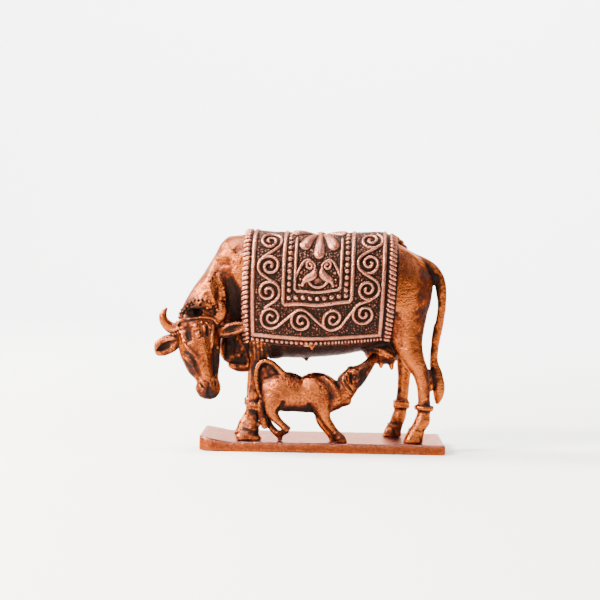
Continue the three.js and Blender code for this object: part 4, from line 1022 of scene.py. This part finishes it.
def sway(along, drop):
    """How far the cloth hangs askew: its front edge swings back near the hem, and its rear edge forward."""
    share = (along - BLANKET_FRONT) / (BLANKET_REAR - BLANKET_FRONT)
    return -0.07 * (1 - share) * drop + (0.0013 - 0.0022 * share) * drop ** 2


def hem_drop(along):
    """Way down from the spine to the hem at each place along."""
    x = along + sway(along, 44)
    points, ways = section_table(x)
    return np.array([np.interp(-height, -points[i, :, 2], ways[i]) for i, height in enumerate(HEM(x))])


def on_columns(points, ways, column, drop):
    """Points of the section table in the given columns, at each way down from the spine."""
    found = np.zeros(column.shape + (3,))
    for k in np.unique(column):
        chosen = column == k
        for axis in range(3):
            found[chosen, axis] = np.interp(drop[chosen], ways[k], points[k, :, axis])
    return found


def over_the_back(along, depth, side):
    """Places of flat points over the back. The near side (-1) also has a strip past the spine."""
    x_table = np.linspace(BLANKET_FRONT - 4, BLANKET_REAR + 1, SECTION_COLUMNS)
    pitch = x_table[1] - x_table[0]
    points, ways = section_table(x_table)
    x = along + sway(along, np.abs(depth))
    column = np.clip(((x - x_table[0]) / pitch).astype(int), 0, SECTION_COLUMNS - 2)
    part = ((x - x_table[column]) / pitch)[..., None]
    before, after = (on_columns(points, ways, column + k, np.abs(depth)) for k in (0, 1))
    result = before * (1 - part) + after * part
    result[..., 0] = x
    mirrored = (side > 0) | (depth < 0)
    result[..., 1] = np.where(mirrored, 2 * MIDDLE - result[..., 1], result[..., 1])
    return result


def spiral(centre, start, hand):
    """Line that goes part of the way around a scroll's centre at its full radius, and then curls in."""
    share = np.linspace(0, 1, 90)
    angle = start - hand * 2 * math.pi * SCROLL_TURNS * share
    inward = np.clip((share - SCROLL_RIM) / (1 - SCROLL_RIM), 0, 1) ** 0.85
    reach = SCROLL_RADIUS * (1 - (1 - SCROLL_EYE) * inward)
    return np.stack([centre[0] + reach * np.cos(angle), centre[1] + reach * np.sin(angle)], 1)


def scrolls(sheet):
    """Running scroll: the stem passes the centres on alternate sides, and curls into each."""
    for i, centre in enumerate(SCROLL_CENTRES):
        last = i == len(SCROLL_CENTRES) - 1
        other = SCROLL_CENTRES[i - 1 if last else i + 1]
        hand = -1 if i % 2 else 1
        apart = math.hypot(other[0] - centre[0], other[1] - centre[1])
        ahead = math.atan2(other[1] - centre[1], other[0] - centre[0]) + (math.pi if last else 0)
        start = ahead - hand * math.acos(min(1, 2 * SCROLL_RADIUS / apart))
        line = spiral(centre, start, hand)
        if not last:
            link = [other[0] - SCROLL_RADIUS * math.cos(start), other[1] - SCROLL_RADIUS * math.sin(start)]
            line = np.vstack([link, line])
        sheet.ridge(line, *SCROLL_STEM)


def panel(sheet):
    """Hanging panel: two frames with a row of beads between them."""
    for half, drop, width, top in PANEL_FRAMES:
        left, right = PANEL_MIDDLE - half, PANEL_MIDDLE + half
        low, high = drop + PANEL_TILT * half, drop - PANEL_TILT * half
        sheet.ridge([[left, top], [left, low - 0.8], [left + 0.8, low],
                     [right - 0.8, high], [right, high - 0.8], [right, top]], width, 0.8)
    across, drop = PANEL_BEADS
    for x in np.linspace(-across, across, 9):
        sheet.dome((PANEL_MIDDLE + x, drop - PANEL_TILT * x), (0.88, 0.88), 0.85, 0.5)
    for x in (PANEL_MIDDLE - across, PANEL_MIDDLE + across):
        for place in np.arange(28.2, 6, -2.15):
            sheet.dome((x, place), (0.85, 0.85), 0.8, 0.5)


def bird(sheet, way):
    """Bird with a curled head, a plump body and an arched wing, on one side of the panel."""
    def at(x, y):
        return PANEL_MIDDLE + way * x, y

    turns = np.linspace(0, 1, 60)
    angle = math.radians(205) - turns * math.radians(480)
    reach = 1.75 * (1 - 0.72 * turns)
    curl = [at(2.9 + r * math.cos(a), 19.4 - r * math.sin(a)) for r, a in zip(reach, angle)]
    sheet.ridge(curl, 0.5, 0.8)
    body = smooth_line([at(1.1, 20.6), at(1.5, 22.3), at(3, 23.6), at(4.5, 24.8), at(5.2, 26.4)], 10)
    for k, place in enumerate(body):
        share = k / (len(body) - 1)
        half = 0.65 + 0.75 * math.sin(math.pi * min(1, share * 1.15) ** 0.8)
        sheet.dome(place, (half, half), 0.6 + 0.35 * half)
    arch = smooth_line([at(1.9, 18.1), at(3.3, 17.4), at(5.0, 18.4), at(6.4, 21), at(7.4, 23.4)], 10)
    sheet.ridge(arch, 0.52, 0.75)
    for place in ((5.9, 24.4), (6.2, 26.4), (5.7, 22.2)):
        sheet.dome(at(*place), (0.5, 0.5), 0.55)


def birds(sheet):
    """Pair of birds over a crescent and a low leaf."""
    for way in (-1, 1):
        bird(sheet, way)
    hull = smooth_line([[PANEL_MIDDLE - 3.2, 24.9], [PANEL_MIDDLE - 1.9, 26.1], [PANEL_MIDDLE, 26.6],
                        [PANEL_MIDDLE + 1.9, 26.1], [PANEL_MIDDLE + 3.2, 24.9]], 10)
    sheet.ridge(hull, 0.55, 0.75)
    sheet.dome((PANEL_MIDDLE, 24.2), (1.9, 1.2), 0.45)


def rosette(sheet):
    """Ten petals around a boss on the spine."""
    for i in range(PETALS):
        turn = 2 * math.pi * (i + 0.5) / PETALS
        x, y = ROSETTE_REACH[0] * math.cos(turn), ROSETTE_REACH[1] * math.sin(turn)
        for share in np.linspace(0.24, 0.82, 26):
            half = 0.55 + 1.45 * step(0.1, 0.86, share)
            sheet.dome((PANEL_MIDDLE + share * x, share * y), (half, half), 0.5 + 0.42 * half)
    sheet.dome((PANEL_MIDDLE, 0), (1.9, 1.9), 1.5, 0.5)


def borders(sheet):
    """Wide beads and a rail down each end, and a rail, small beads and a pendant along the hem."""
    rail_drop = sheet.hem - RAIL_RISE(sheet.along)
    inner = (sheet.along >= RAILS[0]) & (sheet.along <= RAILS[1])
    sheet.ridge(np.stack([sheet.along[inner], rail_drop[inner]], 1), 0.8, 0.7, 0.45)
    for x in RAILS:
        sheet.ridge([[x, min(0, sheet.depth[0])], [x, np.interp(x, sheet.along, rail_drop)]], 0.75, 0.7, 0.45)
    for x, turned in zip(EDGE_BEADS, EDGE_BEAD_TURNS):
        end = np.interp(x, sheet.along, sheet.hem) - 1.0
        count = int(round(end / EDGE_BEAD_PITCH))
        for k in range(-3, count + 1):
            size = 0.96 + 0.08 * hashed(np.array(k), np.array(int(x) + 40))
            sheet.bar((x, end * k / count), (1.32 * size, 0.8), 0.9, turned)
    hem_beads(sheet)


def hem_beads(sheet):
    """Beads along the hem, larger and wider apart at the front, and the root of the pendant."""
    x = RAILS[0] - 0.2
    while x < RAILS[1] + 0.6:
        share = step(-4, 6, x)
        pitch = 1.72 - 0.6 * share
        drop = np.interp(x, sheet.along, sheet.hem) - HEM_BEAD_RISE(x)
        sheet.dome((x, drop), (0.46 * pitch, 0.72 + 0.1 * share), 0.7)
        x += pitch
    drop = np.interp(HEM_PENDANT, sheet.along, sheet.hem)
    sheet.dome((HEM_PENDANT, drop - 0.6), (1.5, 0.9), 0.7)


def ground(sheet, cell_seed):
    """Pebbled ground, flat beside the bead columns and lower inside the scrolls."""
    along, depth = np.meshgrid(sheet.along, sheet.depth)
    flat = sum(amount * grains(along, depth, pitch, cell_seed + shift) for amount, pitch, shift in PEBBLES)
    channel = np.minimum(np.abs(along - EDGE_BEADS[0]), np.abs(along - EDGE_BEADS[1]))
    flat = flat * step(*CHANNEL_EDGE, channel)
    for centre in SCROLL_CENTRES:
        away = np.hypot(along - centre[0], depth - centre[1])
        flat = flat * (SCROLL_GROUND + (1 - SCROLL_GROUND) * step(*SCROLL_EDGE, away))
    fine = layered(np.stack([along, depth, along * 0], -1), SHEET_NOISE)
    high = sheet.height > LOWEST_CARVING
    sheet.height = np.where(high, np.maximum(sheet.height, flat), flat) + fine


def softened(height, reach):
    """Height averaged over the squares around each place."""
    for axis in (0, 1):
        height = sum(np.roll(height, shift, axis) for shift in range(-reach, reach + 1)) / (2 * reach + 1)
    return height


def sheet_faces(rows, columns):
    """Faces of a sheet's top, edges and plain underside. The corners under its front end and then those under
    its rear end come after those of the top."""
    index = np.arange(rows * columns).reshape(rows, columns)
    front = rows * columns + np.arange(rows)
    rear = front + rows
    top = np.stack([index[:-1, :-1], index[1:, :-1], index[1:, 1:], index[:-1, 1:]], -1)
    faces = top.reshape(-1, 4).tolist()
    for r in range(rows - 1):
        faces.append([index[r, 0], front[r], front[r + 1], index[r + 1, 0]])
        faces.append([rear[r], index[r, -1], index[r + 1, -1], rear[r + 1]])
        faces.append([front[r], rear[r], rear[r + 1], front[r + 1]])
    faces.append([*index[0, :], rear[0], front[0]])
    faces.append([*index[-1, ::-1], front[-1], rear[-1]])
    return faces


def sheet_piece(name, sheet, side, material):
    """Closed mesh of one side of the blanket."""
    share = (sheet.depth - sheet.depth[0]) / (sheet.depth[-1] - sheet.depth[0])
    along, down = np.meshgrid(sheet.along, share)
    depth = sheet.depth[0] + down * (sheet.hem - sheet.depth[0])
    height = np.stack([np.interp(depth[:, k], sheet.depth, sheet.height[:, k])
                       for k in range(len(sheet.along))], 1)
    low = over_the_back(along, depth, side)
    normals = unit(np.cross(np.gradient(low, axis=1), np.gradient(low, axis=0))) * side
    normals = np.where((normals[..., 2:] < 0) & (depth[..., None] < ABOVE_THE_FLANK), -normals, normals)
    edge = np.minimum(np.minimum(along - sheet.along[0], sheet.along[-1] - along), sheet.hem - depth)
    rounded = -EDGE_ROUNDING * (1 - step(0, EDGE_ROUNDING, edge))
    top = low + normals * (height + rounded)[..., None]
    base = low - normals * EDGE_DEPTH
    points = np.vstack([top.reshape(-1, 3), base[:, 0], base[:, -1]])
    faces = sheet_faces(*depth.shape)
    if side > 0:
        faces = [face[::-1] for face in faces]
    # Raised carving is worn bright over dark patina in the ground, and its crests get a painted highlight
    crests = height - softened(height, CREST_REACH)
    wear_and_light = LEAST_WEAR + HEIGHT_WEAR * step(*WORN_FROM, height) + CREST_HIGHLIGHT * crests
    wear_and_painted_light = np.concatenate([wear_and_light.ravel(), np.zeros(2 * len(depth))])
    return piece(name, points, faces, material, "cow_and_calf", wear_and_painted_light)


# Name, side, first drop, cell and seed of each side
BLANKET_SIDES = (("blanket", -1, -4.0, 0.172, 1), ("blanket_far_side", 1, 4.0, 0.26, 7))


def blanket(material):
    """The near side with its birds, and the plainer far side."""
    last_drop = hem_drop(np.linspace(BLANKET_FRONT, BLANKET_REAR, 40)).max()
    for name, side, first_drop, cell, seed in BLANKET_SIDES:
        sheet = Sheet(first_drop, cell, last_drop)
        borders(sheet)
        scrolls(sheet)
        panel(sheet)
        if side < 0:
            birds(sheet)
        rosette(sheet)
        ground(sheet, seed)
        sheet_piece(name, sheet, side, material)


# Base plate

PLATE_CORNER, PLATE_ROUND_CORNER = 0.9, 4.5
PLATE_TOE = -32.6
PLATE_SPARE = 0.8


def plate():
    """Slab with one rounder corner at the near left, and a left end that rises past the toes of the cow."""
    half_x, half_y = plate_high.x / MODULE, plate_high.y / MODULE
    swell = (plate_high.z - figures_low.z) / MODULE
    low = (-half_x - PLATE_SPARE, -half_y - PLATE_SPARE, -PLATE_SPARE)
    high = (half_x + PLATE_SPARE, half_y + PLATE_SPARE, GROUND + swell + PLATE_SPARE)
    field = Field(low, high, PLATE_CELL)
    where, (x, y, z) = field.window(low, high)
    corner = np.where((x < 0) & (y < 0), PLATE_ROUND_CORNER, PLATE_CORNER)
    out_x, out_y = np.abs(x) - half_x + corner, np.abs(y) - half_y + corner
    beyond = np.hypot(np.maximum(out_x, 0), np.maximum(out_y, 0))
    sides = beyond + np.minimum(np.maximum(out_x, out_y), 0) - corner
    top = GROUND + swell * np.clip((PLATE_TOE - x) / (half_x + PLATE_TOE), 0, 1)
    distance = -melted(-melted_max(sides, z - top, 0.9), z + 0 * x, 0.5)
    field.value[where] = distance.astype(np.float32)
    return field


def melted_max(a, b, reach):
    """Larger of two distances, with a fillet where they are close."""
    return -melted(-a, -b, reach)


# Materials

class Wiring:
    """A new material's nodes, made and linked by short calls."""

    def __init__(self, name):
        self.material = bpy.data.materials.new(name)
        self.material.use_nodes = True
        self.tree = self.material.node_tree
        self.shader = self.tree.nodes["Principled BSDF"].inputs

    def put(self, socket, value):
        """Gives a socket a number or a colour, or links it."""
        if isinstance(value, bpy.types.NodeSocket):
            self.tree.links.new(value, socket)
        else:
            socket.default_value = (*value, 1) if isinstance(value, tuple) else value

    def node(self, kind, inputs, output=0, **settings):
        """Output of a new node."""
        made = self.tree.nodes.new("ShaderNode" + kind)
        for name, value in settings.items():
            setattr(made, name, value)
        for socket, value in inputs.items():
            self.put(made.inputs[socket], value)
        return made.outputs[output]

    def noise(self, scale, detail, roughness=0.5):
        """Noise fixed to the object, from 0 to 1."""
        inputs = {"Vector": self.node("TexCoord", {}, "Object"), "Scale": scale, "Detail": detail,
                  "Roughness": roughness}
        return self.node("TexNoise", inputs, "Fac")

    def math(self, operation, first, second):
        """Sum, product or other result of two values."""
        return self.node("Math", {0: first, 1: second}, operation=operation)

    def ramp(self, value, low, high, start=0.0):
        """Grey from start at low to white at high."""
        made = self.tree.nodes.new("ShaderNodeValToRGB")
        for element, position, grey in zip(made.color_ramp.elements, (low, high), (start, 1.0)):
            element.position = position
            element.color = (grey, grey, grey, 1)
        self.put(made.inputs[0], value)
        return made.outputs[0]

    def mix(self, share, first, second):
        """Colour between two others."""
        return self.node("Mix", {0: share, 6: first, 7: second}, 2, data_type="RGBA")


# Noises as scale, detail and roughness
SPECKLE, CLOUDS, GRAIN = (1250, 4, 0.7), (260, 4), (1900, 3)
CLOUDS_AMOUNT = 0.55
GRAIN_STRENGTH, GRAIN_DEPTH = 0.8, 0.0003
# Shares of wear and painted light at which the dark patina and painted shade turn to warm copper, and warm
# copper to bright worn copper and painted highlight
COPPER_SHOWS, COPPER_SHINES = (0.12, 0.46), (0.48, 0.95)
METAL_SHOWS, METAL_LEAST = (0.1, 0.5), 0.35
# Painted reflection: how far faces that look up turn to the pink reflection colour
TOP_REFLECTION_SHARE = 0.8
DULL = 0.55
EDGE_GLINT, EDGE_TINT = 0.25, (0.75, 0.45, 0.35)


def copper(name, worn_and_highlight, warm, patina_and_shade, top_reflection, gloss, mottled):
    """Copper finish over dark patina: bright where worn or where a highlight is painted, dark and dull in the
    recesses and where shade is painted, and pinker on top with a painted reflection. Gloss is the roughness
    of what is worn."""
    made = Wiring(name)
    # Wear of the finish with painted shade and painted highlights, from the mesh, and random mottling
    wear_and_light = made.node("Attribute", {}, "Fac", attribute_name="wear_and_painted_light")
    for texture, amount in ((SPECKLE, mottled), (CLOUDS, CLOUDS_AMOUNT)):
        around_zero = made.math("SUBTRACT", made.noise(*texture), 0.5)
        wear_and_light = made.math("ADD", wear_and_light, made.math("MULTIPLY", around_zero, amount))
    normal = made.node("NewGeometry", {}, "Normal")
    up = made.node("SeparateXYZ", {0: normal}, "Z")
    metal = made.mix(made.ramp(wear_and_light, *COPPER_SHINES), warm, worn_and_highlight)
    # Painted reflection: faces that look up are tinted pink
    metal = made.mix(made.math("MULTIPLY", made.math("MAXIMUM", up, 0.0), TOP_REFLECTION_SHARE), metal, top_reflection)
    grain = {"Strength": GRAIN_STRENGTH, "Distance": GRAIN_DEPTH, "Height": made.noise(*GRAIN)}
    # Dark patina and painted shade in the recesses, copper elsewhere, and bright copper where worn or where a
    # highlight is painted
    looks = {"Base Color": made.mix(made.ramp(wear_and_light, *COPPER_SHOWS), patina_and_shade, metal),
             "Roughness": made.node("MapRange", {"Value": wear_and_light, "To Min": DULL, "To Max": gloss}),
             "Metallic": made.ramp(wear_and_light, *METAL_SHOWS, METAL_LEAST),
             "Specular IOR Level": EDGE_GLINT,
             "Specular Tint": EDGE_TINT,
             "Normal": made.node("Bump", grain)}
    for socket, value in looks.items():
        made.put(made.shader[socket], value)
    return made.material


# Painted light and shade

# Each is x, y, z, reach and amount: painted shade, or a painted highlight where the amount is below zero.

# Painted shade in the groove between neck and shoulder
NECK_SHADE = [(-31.6, -12, 57, 2, 0.4), (-30.6, -12, 53, 2.6, 0.7), (-30, -12, 48, 3.2, 0.8),
               (-29.6, -12, 43, 3.6, 0.8), (-28.4, -13, 55, 2, 0.4), (-33, -13, 61, 2.4, 0.3),
               (-36.4, -14, 53, 1.4, 0.25)]

# Painted shade on the dewlap
DEWLAP_SHADE = [(-31, -10, 34, 5, 0.35), (-30.6, -9, 34, 4, 0.4), (-29.5, -9, 30, 2.6, 0.5),
                 (-31, -9, 39, 3, 0.5), (-30, -11, 27.6, 3, 0.6)]
DEWLAP_SHADE += [(-35.2, -9, height, 2, 0.8) for height in (32, 35, 38)]

# Painted shade on the forelegs, from under the hem down to the hooves
FORELEG_SHADE = [(-24, -13, 29, 3.4, 0.4), (-22, -14, 34.4, 3.4, 0.5), (-22.4, -12.5, 27, 2.6, 0.9),
                  (-22.6, -12.5, 22, 2.6, 0.9), (-22.8, -13, 17, 2.4, 0.7), (-21.6, -12, 11, 2.2, 0.9),
                  (-22, -12, 6, 2, 0.7), (-27.6, -13, 4.4, 1.4, 0.5), (-24.2, -13, 13.4, 3, 0.45),
                  (-25.6, -13.4, 7, 2.6, 0.45), (-23.8, -13, 24, 3, 0.4), (-26.6, -12, 8, 3, 0.3)]

# Painted shade under the belly and on the udder
BELLY_SHADE = [(0, -12, 33.6, 8, 0.3), (-14, -12, 34, 7, 0.35), (14, -12, 35, 6, 0.3),
                (19, -8, 32, 4, 0.35), (-16, -9, 33, 4, 0.6)]

# Painted shade on the flank beside the blanket, on the rump, and in the gap before the tail
RUMP_SHADE = [(27, -15, 68, 3, 0.35), (27.4, -15, 62, 2.4, 0.3), (27.6, -15, 56, 1.8, 0.25),
               (33.6, -8, 62, 3.4, 0.6), (34.4, -9, 55, 3.4, 0.8), (34, -10, 48, 3.2, 0.8),
               (34, -10, 41, 3, 0.7), (21, -12, 42, 3, 0.2), (36, -4, 61, 2, 0.5)]

# Painted shade on the hind legs, down to the hooves, and on the web to the tail
HIND_LEG_SHADE = [(37.5, -5, 25.6, 3.5, 0.6), (36, -8, 33, 2.4, 0.4), (25.5, 4, 8, 4, 0.6),
                   (26, 4, 4.6, 2.4, 0.5), (35.8, -11, 9, 1.6, 0.8), (34.8, -11, 5, 1.6, 0.7),
                   (29.2, -13, 4.2, 1.3, 0.6), (38, -5, 35, 5, 0.3)]
HIND_LEG_SHADE += [(26.4, 4, height, 1.6, 0.7) for height in range(17, 36, 3)]
HIND_LEG_SHADE += [(36.4, -11, height, 1.8, 0.8) for height in range(17, 33, 3)]

# Painted shade on the side of the tail that faces the rump
TAIL_SIDE = profile([[36, 37.6], [44, 38.3], [55, 39.7], [62, 39]])
TAIL_SHADE = [(TAIL_SIDE(height), -4, height, 1.6, 0.9) for height in range(36, 61, 3)]

# Painted highlights on the neck, the shoulder and the flanks
COW_HIGHLIGHTS = [(-37.4, -12, 62, 4, -0.3), (-30, -14, 66, 4, -0.2), (25.9, -15.4, 54, 4, -0.5),
              (30, -13, 38, 5, -0.15)]

# All the cow's painted shade and painted highlights
COW_PAINTED_LIGHT = (NECK_SHADE + DEWLAP_SHADE + FORELEG_SHADE + BELLY_SHADE + RUMP_SHADE
              + HIND_LEG_SHADE + TAIL_SHADE + COW_HIGHLIGHTS)

# Painted shade on the eyes, the jaw, the nose and the muzzle
FACE_SHADE = [(-45.3, -17, 32.2, 2.2, 0.35), (-36, -16, 34.6, 2, 0.7), (-35.9, -16, 31, 2.2, 0.9),
               (-36.1, -16.5, 27.6, 1.9, 0.8), (-46.6, -15, 34, 1.6, 0.3), (-45.6, -15, 28, 3.6, 0.4),
               (-38.6, -19, 20, 1.5, 0.5), (-36.4, -17, 20.6, 2, 0.4), (-42, -17, 20.6, 1.8, 0.3),
               (-39.2, -19, 18.6, 3, 0.4)]

# Painted shade in the collar, on the forehead and on the ears
CROWN_SHADE = [(-46, -16.5, 40, 1.8, 0.6), (-45.2, -14, 46.9, 3, 0.9), (-39.6, -18, 40.6, 1.2, 0.5),
                (-54.8, -12, 35, 2, 0.4), (-31.5, -14, 41.5, 2.4, 0.6), (-47.8, -14, 48, 2, 0.6),
                (-44.4, -14, 50, 2.2, 0.6), (-40.8, -14, 50, 2.2, 0.6), (-38.2, -14, 48.6, 1.8, 0.5),
                (-55, -13, 34.8, 1.6, 0.4), (-43, -14, 49.4, 4, 0.3)]

# Painted highlights on the bridge of the nose and the forehead
HEAD_HIGHLIGHTS = [(-40.6, -18, 35, 3, -0.2), (-39.8, -18, 26.6, 2, -0.3), (-43, -18, 42, 1.8, -0.2)]

# All the head's painted shade and painted highlights
HEAD_PAINTED_LIGHT = FACE_SHADE + CROWN_SHADE + HEAD_HIGHLIGHTS
# Painted shade on the calf: its rump, belly and legs, and its head at the udder; amounts below zero are
# painted highlights on its body and legs
CALF_PAINTED_LIGHT = [(-19, -13, 27.6, 2.8, 0.6), (-9, -11, 27.4, 3, 0.45), (-11, -13, 13, 3, 0.8),
               (-5, -13, 13, 3, 0.8), (-8, -12, 12.6, 3, 0.6), (-2.6, -17, 22, 4, -0.4),
               (-10, -17, 20, 6, -0.25), (-17, -17, 22, 4, -0.15), (3, -17, 12, 4, -0.2),
               (10.8, -15, 25.9, 1.1, 0.4), (5.8, -10, 25, 2.2, 0.6), (14, -13, 28, 3.4, 0.65),
               (12.6, -14, 25, 2.4, 0.5), (6, -13, 5, 2.8, 0.8), (-12, -14, 7.2, 1.6, 0.5),
               (-14.6, -11, 5, 1.8, 0.6), (5.3, -14.5, 23, 1, 0.5), (-22, -13, 20, 2.6, 0.5),
               (-20.8, -13, 12, 2.4, 0.4), (2.6, -15, 19, 1.6, 0.4), (9, -12, 29.4, 1.6, 0.5),
               (3, -10, 8, 2.4, 0.3), (-17, -10.4, 8, 2.4, 0.3)]


# Stage, lights and camera

PAPER_WHITE, PAPER_ROUGHNESS = (0.92, 0.92, 0.93, 1), 0.9


def studio():
    """Pale paper floor that curves up behind the statue."""
    half_wide, front, turn_from, turn_radius, top = 2.0, -0.3, 0.9, 0.5, 1.9
    line = [(front, 0.0)]
    line += [(turn_from + turn_radius * math.sin(a), turn_radius - turn_radius * math.cos(a))
             for a in np.linspace(0, math.pi / 2, 24)]
    line.append((turn_from + turn_radius, top))
    points = [(side * half_wide, y, z) for y, z in line for side in (-1, 1)]
    faces = [(2 * i, 2 * i + 1, 2 * i + 3, 2 * i + 2) for i in range(len(line) - 1)]
    mesh = bpy.data.meshes.new("studio_floor")
    mesh.from_pydata(points, [], faces)
    mesh.shade_smooth()
    floor = bpy.data.objects.new("studio_floor", mesh)
    bpy.context.scene.collection.objects.link(floor)
    white = bpy.data.materials.new("white_paper")
    white.use_nodes = True
    shader = white.node_tree.nodes["Principled BSDF"]
    shader.inputs["Base Color"].default_value = PAPER_WHITE
    shader.inputs["Roughness"].default_value = PAPER_ROUGHNESS
    mesh.materials.append(white)


def soft_light(name, place, target, size, power, colour=(1, 1, 1)):
    """Round lamp that points at the target."""
    light = bpy.data.lights.new(name, "AREA")
    light.shape = "DISK"
    light.size = size
    light.energy = power
    light.color = colour
    made = bpy.data.objects.new(name, light)
    bpy.context.scene.collection.objects.link(made)
    made.location = place
    made.rotation_euler = (Vector(place) - Vector(target)).to_track_quat("Z", "Y").to_euler()


AIR_STRENGTH = 0.05
STATUE_MIDDLE, CALF_FRONT = (0, 0, 0.04), (-0.005, -0.012, 0.02)
# Name, place, target, size in metres, power in watts and colour
LAMPS = [
    ("key", (-0.62, -0.38, 0.5), STATUE_MIDDLE, 0.2, 23, (1, 0.93, 0.74)),
    ("front", (0.12, -0.6, 0.5), STATUE_MIDDLE, 0.12, 1.0, (1, 0.95, 0.85)),
    ("low", (-0.2, -0.42, 0.24), CALF_FRONT, 0.15, 1.9, (1, 0.94, 0.77)),
    ("fill", (0.7, -0.6, 0.3), STATUE_MIDDLE, 0.2, 0.8),
    ("top", (-0.1, 0.05, 0.8), STATUE_MIDDLE, 0.4, 13),
    ("left", (-0.6, 0.1, 0.5), STATUE_MIDDLE, 0.25, 19, (1, 0.96, 0.84)),
    ("right", (0.55, -0.05, 0.5), STATUE_MIDDLE, 0.3, 2),
    ("backdrop_1", (-0.6, 0.35, 0.9), (-0.3, 1.35, 0.8), 0.4, 55),
    ("backdrop_3", (0.6, 0.35, 0.9), (0.3, 1.35, 0.8), 0.4, 55),
]


def lights():
    """Faint light from all around, and the lamps."""
    world = bpy.data.worlds.new("studio_air")
    world.use_nodes = True
    background = world.node_tree.nodes["Background"]
    background.inputs["Color"].default_value = (1, 1, 1, 1)
    background.inputs["Strength"].default_value = AIR_STRENGTH
    bpy.context.scene.world = world
    for lamp in LAMPS:
        soft_light(*lamp)


CAMERA_DISTANCE = 0.540
CAMERA_HEIGHT = 0.0703
CAMERA_X = 0.0011
PHOTO_SIZE = 600
FOCAL_PIXELS = 1540
HORIZON_ROW = 246.7
SENSOR = 36.0
DRIFT = -0.0179
ROLL = 0.0172


def camera():
    """Camera at the photograph's place: a little above the back, nearly level, with a slight roll."""
    data = bpy.data.cameras.new("camera")
    data.sensor_width = SENSOR
    data.lens = SENSOR * FOCAL_PIXELS / PHOTO_SIZE
    data.clip_start, data.clip_end = 0.05, 10
    made = bpy.data.objects.new("camera", data)
    bpy.context.scene.collection.objects.link(made)
    forward = Vector((DRIFT, 1, -(PHOTO_SIZE / 2 - HORIZON_ROW) / FOCAL_PIXELS)).normalized()
    level = forward.cross(Vector((0, 0, 1))).normalized()
    upright = level.cross(forward)
    right = (level * math.cos(ROLL) + upright * math.sin(ROLL)).normalized()
    turned = Matrix((right, right.cross(forward), -forward)).transposed()
    made.matrix_world = Matrix.Translation((CAMERA_X, -CAMERA_DISTANCE, CAMERA_HEIGHT)) @ turned.to_4x4()
    bpy.context.scene.camera = made


camera()
skin_copper = copper("copper_skin", worn_and_highlight=(0.28, 0.066, 0.014), warm=(0.075, 0.014, 0.006),
                     patina_and_shade=(0.006, 0.0027, 0.0025), top_reflection=(0.22, 0.07, 0.045), gloss=0.14, mottled=1.4)
carved_copper = copper("copper_carving", worn_and_highlight=(0.42, 0.15, 0.095), warm=(0.14, 0.04, 0.025),
                       patina_and_shade=(0.004, 0.002, 0.0018), top_reflection=(0.36, 0.15, 0.11), gloss=0.22, mottled=0.6)
plate_copper = copper("copper_plate", worn_and_highlight=(0.24, 0.048, 0.012), warm=(0.1, 0.018, 0.007),
                      patina_and_shade=(0.008, 0.003, 0.002), top_reflection=(0.28, 0.15, 0.15), gloss=0.2, mottled=1.4)
# The cow, its head and the calf get their painted shade and painted highlights
cast("cow", cow(), skin_copper, "cow_and_calf", COW_PAINTED_LIGHT)
cast("head", head(), skin_copper, "cow_and_calf", HEAD_PAINTED_LIGHT)
cast("calf", calf(), skin_copper, "cow_and_calf", CALF_PAINTED_LIGHT)
blanket(carved_copper)
cast("plate", plate(), plate_copper, "base_plate")
studio()
lights()
